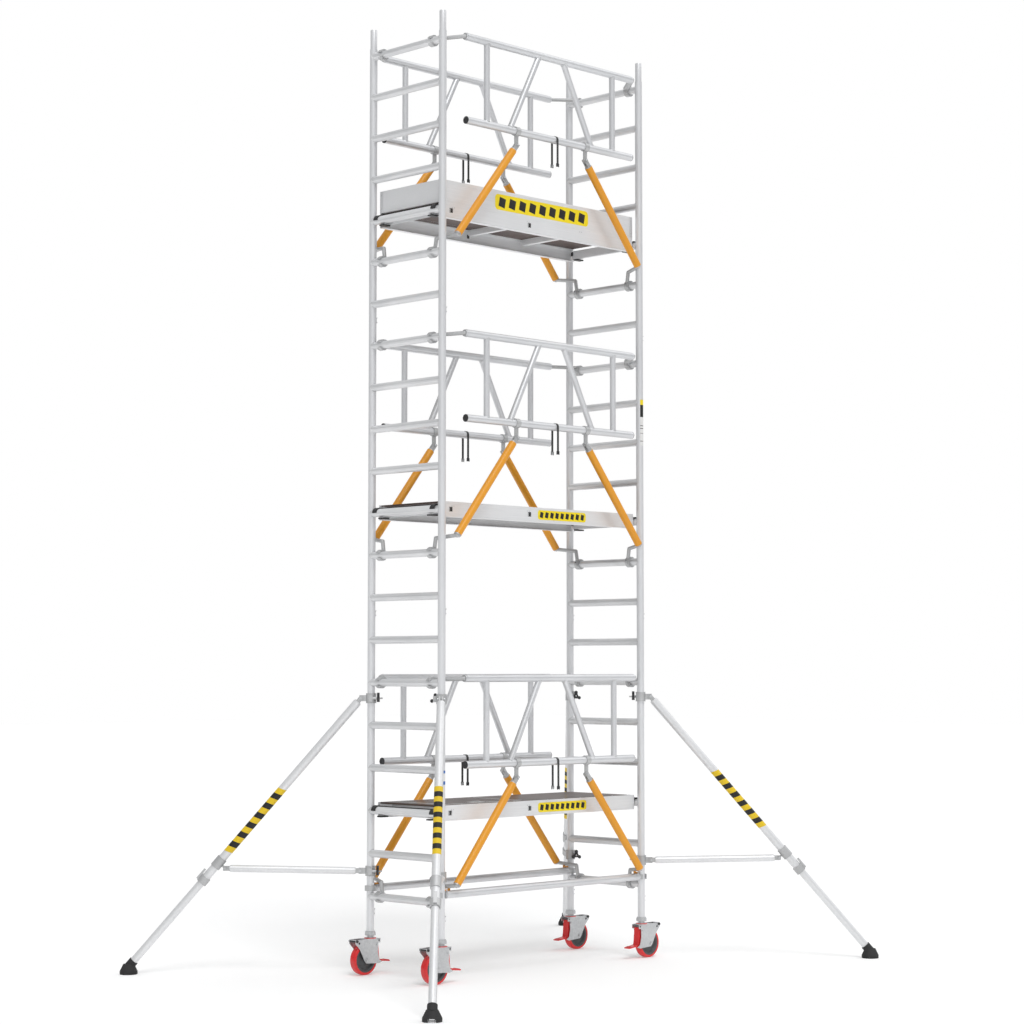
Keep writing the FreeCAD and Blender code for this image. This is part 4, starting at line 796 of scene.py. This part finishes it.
dress("platform_decks", [deck_film, zinc],
      lambda middle: int(middle.y > HINGE_ROW and abs(middle.y) < 0.2285 and middle.x < 0.0))
for level_name, rung_z in rung_heights.items():
    dress(f"platform_hatch_{level_name}", [deck_film, zinc],
          lambda middle: int(middle.y > HINGE_ROW - 0.0030))
    cover_top = rung_z + BEAM_TOP + 0.0002
    fittings = bmesh.new()
    ring_place = at((HATCH_MIDDLE, HATCH_NEAR + 0.060, cover_top))
    block(fittings, (0.110, 0.060, 0.0024), ring_place, 0.0008, 0)
    bow = []
    for step in range(BOW_STEPS):
        angle = 2 * math.pi * step / BOW_STEPS
        bow.append(vec(0.030 * math.cos(angle), 0.016 * math.sin(angle), 0.0042))
    for index, spot in enumerate(bow):
        ahead = bow[(index + 1) % len(bow)]
        rod_place = ring_place @ facing((spot + ahead) / 2, ahead - spot)
        length = (ahead - spot).length * 1.12
        turned(fittings, ((0.0026, -length / 2), (0.0026, length / 2)), rod_place, 10, 1)
    catch = at((HATCH_MIDDLE - 0.18, HATCH_NEAR + 0.020, rung_z + BEAM_TOP - 0.0190))
    block(fittings, (0.070, 0.032, 0.014), catch, 0.003, 2)
    block(fittings, (0.026, 0.030, 0.008), catch @ at((0, -0.004, -0.010)), 0.002, 2)
    shaped(f"hatch_fittings_{level_name}", fittings, f"hatch_{level_name}",
           [trim_metal, zinc, plug_plastic])
    edging = bmesh.new()
    trim_z = cover_top + 0.0006
    for sign in (-1, 1):
        end_place = at((HATCH_MIDDLE + sign * (HATCH_REACH + 0.0095), 0.0, trim_z))
        block(edging, (0.014, -2 * HATCH_NEAR + 0.018, 0.0014), end_place, 0.0005)
    block(edging, (2 * HATCH_REACH + 0.033, 0.014, 0.0014),
          at((HATCH_MIDDLE, HATCH_NEAR - 0.0095, trim_z)), 0.0005)
    shaped(f"hatch_edging_{level_name}", edging, "tower", [trim_metal])
    for sign, side_name in ((-1, "near"), (1, "far")):
        start = (-0.88, sign * (platform_side - 0.018), cover_top)
        rivets(f"deck_screws_{level_name}_{side_name}", "tower", start, (1, 0, 0), (0, 0, 1), 12, 0.16,
               0.0050)
    rivets(
        f"edging_rivets_{level_name}", "tower", (HATCH_MIDDLE - 0.30, HATCH_NEAR - 0.0095,
        trim_z + 0.0006), (1, 0, 0), (0, 0, 1), 6, 0.12, 0.0032)


# ---------------------------------------------------------------- hook ends and wind locks
# Black nylon caps cover the hooks' ends, a strip joins them and a wind lock slides under each.
hook_nylon = finish_of("hook_nylon", (0.028, 0.028, 0.030), (0.015, 0.015, 0.016), 0.50, 380, 0.0002)
dress("platform_hook_ends", [hook_nylon])


# ---------------------------------------------------------------- toe boards
# The top platform is edged with hollow aluminium boards with two lines rolled along each face;
# they slot together at the corners in short angle posts.
dress("toe_boards", [beam_metal])
board_height = board_high.z - board_low.z
grown(
    "toe_board_ribs", rib_tree, {"Half length": board_high.x, "Row": board_high.y,
    "Upper": board_height * 0.36, "Lower": -board_height * 0.40, "Rib": 0.0014}, "tower",
    at((0, 0, (board_low.z + board_high.z) / 2)))
POST_WIDTH = 0.030
POST_WALL = 0.0016
posts = bmesh.new()
for sign_x in (-1, 1):
    for sign_y in (-1, 1):
        middle = vec(sign_x * board_high.x, sign_y * board_high.y, (board_low.z + board_high.z) / 2)
        for inward, out in (
                (vec(sign_x, 0, 0), vec(0, sign_y, 0)), (vec(0, sign_y, 0), vec(sign_x, 0, 0))):
            wide = [POST_WALL + (POST_WIDTH - POST_WALL) * abs(part) for part in inward.xy]
            block(posts, (*wide, board_height * 0.98), at(middle - inward * 0.0145), 0.0006)
            for rise in (-0.045, 0.045):
                head = facing(middle - inward * 0.015 + out * 0.0008 + vec(0, 0, rise), out)
                turned(posts, ((0.0040, 0.0), (0.0040, 0.0008), (0.0022, 0.0018)), head, 12, 1)
shaped("toe_board_posts", posts, "tower", [trim_metal, zinc])


# ---------------------------------------------------------------- casters
# Each caster has a red polyurethane tread cast on a dark moulded hub, a zinc plated fork pressed from
# sheet, and a red brake lever that a foot pushes down.  It hangs on a threaded jack spindle.
CORNERS = ("left_far", "left_near", "right_far", "right_near")
WHEEL_RADIUS = 0.100
WHEEL_CORE = 0.083
WHEEL_HALF = 0.025
TREAD_PROFILE = (
    (WHEEL_CORE, -WHEEL_HALF), (0.0930, -WHEEL_HALF), (0.0968, -0.0235), (0.0988, -0.0195),
    (0.0997, -0.0100))
HUB_PROFILE = (
    (0.0062, -0.0285), (0.0170, -0.0285), (0.0185, -0.0275), (0.0200, -0.0180), (0.0270, -0.0120),
    (0.0640, -0.0098), (0.0690, -0.0190), (0.0715, -0.0232), (0.0810, -0.0240), (WHEEL_CORE, -0.0232))
FORK_FACE = 0.0335
FORK_TOP = 0.235
PEDAL_PIVOT = vec(-0.030, 0, 0.196)
NOSE = vec(0.148, 0, 0.221)
NUT_TOP = 0.2806
PEDAL_TIP = vec(-0.150, 0, 0.0835)
PEDAL_RIBS = 5

red_tread = finish_of(
    "red_polyurethane", (0.74, 0.018, 0.020), (0.60, 0.010, 0.012), 0.30, 160, 0.00012, 0.0, 0.2)
grey_hub = finish_of("hub_nylon", (0.085, 0.088, 0.092), (0.055, 0.057, 0.060), 0.50, 420, 0.0002)
pressed_zinc = finish_of("pressed_zinc", (0.64, 0.65, 0.66), (0.48, 0.49, 0.50), 0.32, 70, 0.00012, 0.8)
red_paint = finish_of(
    "red_lever_paint", (0.72, 0.016, 0.018), (0.58, 0.010, 0.012), 0.28, 300, 0.00012, 0.0, 0.4)
cast_nut = finish_of("cast_nut_zinc", (0.62, 0.63, 0.64), (0.46, 0.47, 0.48), 0.42, 260, 0.0003, 0.75)
rolled_thread = finish_of(
    "rolled_thread", (0.60, 0.61, 0.62), (0.42, 0.43, 0.44), 0.34, 300, 0.0001, 0.9)


def thread_shape():
    """A jack spindle with its thread."""
    tree, size = new_tree(
        "threaded_spindle", {"Radius": 0.0224, "Length": 0.512, "Lead": 0.010, "Depth": 0.0024})
    barrel = add(tree, "GeometryNodeMeshCylinder", Vertices=28, Side_Segments=410,
                 Radius=size["Radius"], Depth=size["Length"])
    across, deep, high = point_parts(tree)
    around = calc(tree, "DIVIDE", calc(tree, "ARCTAN2", deep, across), 2 * math.pi)
    climb = calc(tree, "SUBTRACT", calc(tree, "DIVIDE", high, size["Lead"]), around)
    tooth = calc(tree, "PINGPONG", climb, 0.5)
    crest = calc(
        tree, "MINIMUM", calc(tree, "MAXIMUM", calc(tree, "MULTIPLY_ADD", tooth, 4.0, -0.6), 0.0), 1.0)
    sink = calc(tree, "MULTIPLY", calc(tree, "SUBTRACT", crest, 1.0),
                calc(tree, "DIVIDE", size["Depth"], size["Radius"]))
    inward = vector(tree, x=calc(tree, "MULTIPLY", across, sink), y=calc(tree, "MULTIPLY", deep, sink))
    return close_tree(
        tree, [(add(tree, "GeometryNodeSetPosition", Geometry=barrel, Offset=inward), rolled_thread)])


thread_tree = thread_shape()


def hub_shape():
    """The ribs of a wheel's hub."""
    tree, size = new_tree(
        "hub_ribs", {"Ribs": 10, "Inner": 0.030, "Outer": 0.062, "Width": 0.0032, "Face": 0.0112})
    spoke_ring = add(
        tree, "GeometryNodeMeshCircle", Vertices=size["Ribs"],
        Radius=calc(tree, "MULTIPLY_ADD", size["Outer"], 0.5,
        calc(tree, "MULTIPLY", size["Inner"], 0.5)))
    spoke_long = calc(tree, "SUBTRACT", size["Outer"], size["Inner"])
    spoke_bar = add(
        tree, "GeometryNodeMeshCube", Size=vector(tree, x=spoke_long, y=size["Width"],
        z=calc(tree, "MULTIPLY", size["Face"], 2.0)))
    spoke_aim = add(tree, "FunctionNodeAlignEulerToVector", {"axis": "X"},
                    Vector=tree.nodes.new("GeometryNodeInputPosition").outputs[0])
    spokes = add(
        tree, "GeometryNodeInstanceOnPoints", Points=spoke_ring, Instance=spoke_bar, Rotation=spoke_aim)
    return close_tree(tree, [(spokes, grey_hub)])


spoke_tree = hub_shape()

for corner in CORNERS:
    swivel = Vector(joints[f"caster_swivel_{corner}"]["pos_m"])
    axle = Vector(joints[f"wheel_spin_{corner}"]["pos_m"])
    outward = 1 if swivel.x > 0 else -1
    stand = at((swivel.x, swivel.y, 0)) @ spin(0 if outward > 0 else math.pi, "Z")
    axle_place = facing(axle, (0, 1, 0))

    tread = bmesh.new()
    turned(tread, mirrored(TREAD_PROFILE, [(WHEEL_RADIUS, 0.0)]), axle_place, 96, ring=True)
    tread_piece = shaped(
        f"wheel_tread_{corner}", tread, f"caster_wheel_{corner}", [red_tread], 50)
    hub = bmesh.new()
    turned(hub, mirrored(HUB_PROFILE), axle_place, 72, ring=True)
    for face_side in (-1, 1):
        seal = axle_place @ at((0, 0, face_side * 0.0285))
        turned(hub, mirrored(((0.0066, -0.0003), (0.0150, -0.0003))), seal, 32, 1, ring=True)
    shaped(f"wheel_hub_{corner}", hub, f"caster_wheel_{corner}", [grey_hub, zinc], 40)
    grown(f"hub_ribs_{corner}", spoke_tree, {}, f"caster_wheel_{corner}", axle_place,
          40)
    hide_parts(f"caster_wheel_{corner}")

    dress(f"caster_fork_{corner}", [pressed_zinc])
    fork = bmesh.new()
    for face_side in (-1, 1):
        for middle, wide in ((vec(0.057, 0, 0.100), 0.0115), (PEDAL_PIVOT, 0.0080)):
            face = stand @ facing(middle + vec(0, face_side * FORK_FACE, 0), (0, face_side, 0))
            disc(fork, wide * 1.25, 0.0012, face, 28)
            turned(fork, ((wide, 0.0012), (wide, 0.0068), (wide * 0.82, 0.0078)), face, 6)
        for dx, dz in ((0.030, 0.205), (0.030, 0.160), (0.012, 0.120)):
            face = stand @ facing((dx, face_side * FORK_FACE, dz), (0, face_side, 0))
            turned(fork, ((0.0042, 0.0), (0.0042, 0.0006), (0.0028, 0.0016)), face, 14)
        # The thin near-black disc inside a zinc rim is painted shadow, standing in for the hole through each fork
        # plate.
        face = stand @ facing(NOSE + vec(-0.024, face_side * FORK_FACE, -0.010), (0, face_side, 0))
        disc(fork, 0.0072, 0.0004, face, 24, 1)
        turned(fork, ((0.0074, 0.0), (0.0092, 0.0), (0.0092, 0.0011), (0.0074, 0.0011)), face, 24,
               ring=True)
        cap = stand @ facing(
            NOSE + vec(-0.004, face_side * (FORK_FACE + 0.0002), 0.004), (0, face_side, 0))
        turned(fork, ((0.0090, 0.0), (0.0090, 0.0060), (0.0070, 0.0080)), cap, 24, 1)
    roller = stand @ facing(NOSE + vec(-0.004, -0.029, 0.004), (0, 1, 0))
    disc(fork, 0.0060, 0.058, roller, 24, 1)
    top = stand @ at((0, 0, FORK_TOP))
    turned(fork, ((0.0345, -0.0010), (0.0400, -0.0006), (0.0400, 0.0030), (0.0345, 0.0046)), top, 48, 2,
           ring=True)
    for side in (-1, 1):
        block(fork, (0.034, 0.0035, 0.030), stand @ at((-0.044, side * 0.0318, FORK_TOP - 0.016)),
              0.0012, 0)
        face = stand @ facing((-0.048, side * 0.0336, FORK_TOP - 0.016), (0, side, 0))
        disc(fork, 0.0058, 0.0005, face, 20, 1)
    shaped(f"fork_fittings_{corner}", fork, f"caster_fork_{corner}",
           [zinc, plug_plastic, red_tread])

    dress(f"brake_pedal_{corner}", [red_paint])
    grips = bmesh.new()
    for rib in range(PEDAL_RIBS):
        spot = stand @ at((PEDAL_TIP.x + 0.006 * rib, 0, PEDAL_TIP.z + 0.0012 * rib)) @ spin(-0.2, "Y")
        block(grips, (0.0028, 0.040, 0.0022), spot, 0.0007)
    shaped(f"pedal_grip_{corner}", grips, f"brake_pedal_{corner}", [red_paint])

    spindle = grown(f"jack_spindle_{corner}", thread_tree, {}, f"jack_leg_{corner}",
                    at((swivel.x, swivel.y, FORK_TOP + 0.0130 + 0.256)), 40)
    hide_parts(f"jack_leg_{corner}")
    flange = bmesh.new()
    turned(flange, ((0.0100, -0.014), (0.0100, 0.0064), (0.0224, 0.0064), (0.0224, 0.0130)), top, 40)
    shaped(f"kingpin_{corner}", flange, f"jack_leg_{corner}", [pressed_zinc])
    dress(f"jack_nut_{corner}", [cast_nut])
    lugs = bmesh.new()
    for ear in range(4):
        around_nut = stand @ spin(math.radians(45 + 90 * ear), "Z")
        rib = around_nut @ at((0.0335, 0, NUT_TOP - 0.0170))
        block(lugs, (0.0040, 0.0080, 0.0200), rib, 0.0012)
    shaped(f"nut_ribs_{corner}", lugs, f"jack_nut_{corner}", [cast_nut])


# ---------------------------------------------------------------- outriggers
# Four telescopic props stand out at 45 degrees.  Each is an outer tube with a band of hazard tape, a
# level arm, two cast clamps with black hand knobs, a sliding inner tube and a rubber foot.
HINGE_REACH = 0.068
OUTER_RADIUS = 0.0275
INNER_RADIUS = 0.0250
ARM_RADIUS = 0.0240
FORK_GAP = 0.0366
TAPE_BANDS = 13
TAPES = {
    "left_far": (0.788, 0.541),
    "left_near": (0.708, 0.511),
    "right_far": (0.700, 0.520),
    "right_near": (0.682, 0.507),
}
SLEEVE_PLACE = 1.425
SLEEVE_DROP = 0.0579
LEG_LENGTH = 1.575
PIN_REACH = 0.0190
CLAMP_HALF = 0.031
COLLAR_MIDDLE = 0.0240
TREADS = ((0.004, 0.0576), (0.010, 0.0584), (0.016, 0.0584))

prop_tube = finish_of("prop_tube", (0.79, 0.795, 0.805), (0.71, 0.718, 0.73), 0.40, 60, 0.00004, 0.50)
tape_yellow = finish_of(
    "tape_yellow", (0.78, 0.54, 0.005), (0.71, 0.48, 0.004), 0.45, 90, 0.00006, 0.0, 0.08)
tape_black = finish_of("tape_black", (0.008, 0.008, 0.008), (0.005, 0.005, 0.005), 0.55, 90, 0.00006)
foot_rubber = finish_of("foot_rubber", (0.024, 0.024, 0.025), (0.012, 0.012, 0.013), 0.72, 240, 0.0004)
knob_plastic = finish_of(
    "knob_plastic", (0.024, 0.024, 0.026), (0.014, 0.014, 0.015), 0.42, 500, 0.00015)


def tape_shape():
    """Slanted yellow and black bands along Z."""
    tree, size = new_tree(
        "hazard_tape", {"Tube radius": OUTER_RADIUS, "Thickness": 0.0003, "Pitch": 0.040,
        "Bands": TAPE_BANDS, "Slant": 0.35})
    tape_radius = calc(tree, "ADD", size["Tube radius"], size["Thickness"])
    parts = []
    for offset, finish in ((0, tape_yellow), (1, tape_black)):
        count = calc(
            tree, "CEIL", calc(tree, "DIVIDE", calc(tree, "SUBTRACT", size["Bands"], offset), 2))
        band = add(tree, "GeometryNodeMeshCylinder", {"fill_type": "NONE"}, Vertices=40,
                   Side_Segments=1, Radius=tape_radius, Depth=size["Pitch"])
        deep = point_parts(tree)[1]
        slanted = add(tree, "GeometryNodeSetPosition", Geometry=band,
                      Offset=vector(tree, z=calc(tree, "MULTIPLY", deep, size["Slant"])))
        first = calc(tree, "MULTIPLY", size["Pitch"], offset + 0.5)
        parts.append(
            (row_of(tree, slanted, count, first, calc(tree, "MULTIPLY", size["Pitch"], 2)), finish))
    return close_tree(tree, parts)


tape_tree = tape_shape()


def off_line(point, start, along):
    """How far along a line a point lies, and how far from it."""
    ahead = (point - start).dot(along)
    return ahead, (point - start - along * ahead).length


for corner in CORNERS:
    stile = Vector(joints[f"outrigger_swing_{corner}"]["pos_m"])
    along = Vector(joints[f"outrigger_telescope_{corner}"]["axis"]).normalized()
    outward = vec(along.x, along.y, 0).normalized()
    upper = vec(
        stile.x, stile.y, joints[f"upper_knob_turn_{corner}"]["pos_m"][2]) + outward * HINGE_REACH
    lower = vec(
        stile.x, stile.y, joints[f"lower_knob_turn_{corner}"]["pos_m"][2]) + outward * HINGE_REACH
    sideways = outward.cross(vec(0, 0, 1))
    above = sideways.cross(along).normalized()
    if above.z < 0:
        above = -above
    arm_end = upper + along * SLEEVE_PLACE - above * SLEEVE_DROP
    arm_along = (arm_end - lower).normalized()
    arm_length = (arm_end - lower).length

    def tube_or_casting(middle):
        ahead, away = off_line(middle, upper, along)
        if ahead > FORK_GAP - 0.001 and away < OUTER_RADIUS + 0.0001:
            return 0
        ahead, away = off_line(middle, lower, arm_along)
        on_arm = FORK_GAP - 0.001 < ahead < arm_length - FORK_GAP + 0.001
        return 0 if on_arm and away < ARM_RADIUS + 0.0001 else 1

    def tube_or_foot(middle):
        return int(off_line(middle, upper, along)[1] > INNER_RADIUS + 0.0002)

    dress(f"outrigger_{corner}", [prop_tube, cast_metal], tube_or_casting)
    dress(f"outrigger_inner_leg_{corner}", [prop_tube, foot_rubber], tube_or_foot)
    for height in ("upper", "lower"):
        dress(f"{height}_knob_{corner}", [knob_plastic])
    tape_start, tape_length = TAPES[corner]
    grown(f"hazard_tape_{corner}", tape_tree, {"Pitch": tape_length / TAPE_BANDS},
          f"outrigger_{corner}", facing(upper + along * tape_start, along), 40)
    pins = bmesh.new()
    for pin in (upper, lower, arm_end):
        for side in (-1, 1):
            face = facing(pin + sideways * side * PIN_REACH, sideways * side)
            disc(pins, 0.0090, 0.0014, face, 24)
            turned(pins, ((0.0072, 0.0014), (0.0072, 0.0058), (0.0060, 0.0066)), face, 6)
    for clamp in (upper, lower):
        ring = at((stile.x, stile.y, clamp.z))
        for rise in (-CLAMP_HALF, CLAMP_HALF):
            turned(
                pins, ((0.0262, rise - 0.0015), (0.0345, rise - 0.0015), (0.0352, rise),
                (0.0345, rise + 0.0015), (0.0262, rise + 0.0015)), ring, 48, 1, ring=True)
    collar = facing(upper + along * (LEG_LENGTH + COLLAR_MIDDLE), along)
    turned(
        pins, ((0.0282, -0.0012), (0.0350, -0.0012), (0.0358, 0.0), (0.0350, 0.0012), (0.0282, 0.0012)),
        collar, 48, 1, ring=True)
    shaped(f"outrigger_pins_{corner}", pins, f"outrigger_{corner}", [zinc, cast_metal])
    foot = Vector(mounts[f"foot_{corner}"]["pos_m"])
    treads = bmesh.new()
    for height, radius in TREADS:
        turned(
            treads, ((0.0550, height - 0.0018), (radius, height - 0.0018), (radius + 0.0008, height),
            (radius, height + 0.0018), (0.0550, height + 0.0018)), at(foot), 56, 0, ring=True)
    shaped(f"foot_treads_{corner}", treads, f"outrigger_inner_leg_{corner}",
           [foot_rubber])


# ---------------------------------------------------------------- frame labels
# A small foil with plain coloured panels is stuck on two of the stiles, where the frames' maker
# would print its instructions; here it has no lettering.
LABEL_REACH = math.radians(38)
label_white = finish_of("label_white", (0.78, 0.78, 0.77), (0.70, 0.70, 0.69), 0.40, 80, 0.00004)
label_blue = finish_of("label_blue", (0.05, 0.16, 0.46), (0.04, 0.12, 0.36), 0.40, 80, 0.00004)


def arc_panel(shape, place, tall, wear, steps=14):
    """A thin curved panel on the near face of a stile."""
    rings = []
    rise = vec(0, 0, tall)
    for step in range(steps + 1):
        angle = -math.pi / 2 - LABEL_REACH + 2 * LABEL_REACH * step / steps
        out = vec(math.cos(angle), math.sin(angle), 0)
        inner = place + out * (STILE_RADIUS - 0.0002)
        outer = place + out * (STILE_RADIUS + 0.0003)
        rings.append((inner, outer, outer + rise, inner + rise))
    skin(shape, rings, wear)


for index, (sign_x, height, panels) in enumerate(
        ((1, 3.563, ((0.030, 0), (0.004, 2), (0.052, 0), (0.003, 2), (0.030, 0), (0.005, 2), (0.014, 0),
        (0.005, 2), (0.059, 0), (0.086, 2), (0.037, 1))),
        (-1, 1.26, ((0.022, 3), (0.050, 0), (0.018, 3))))):
    foil = bmesh.new()
    level_z = height
    for tall, wear in panels:
        arc_panel(foil, vec(sign_x * half_length, -half_width, level_z), tall, wear)
        level_z += tall
    shaped(f"stile_label_{index}", foil, "tower",
           [label_white, label_yellow, label_black, label_blue])
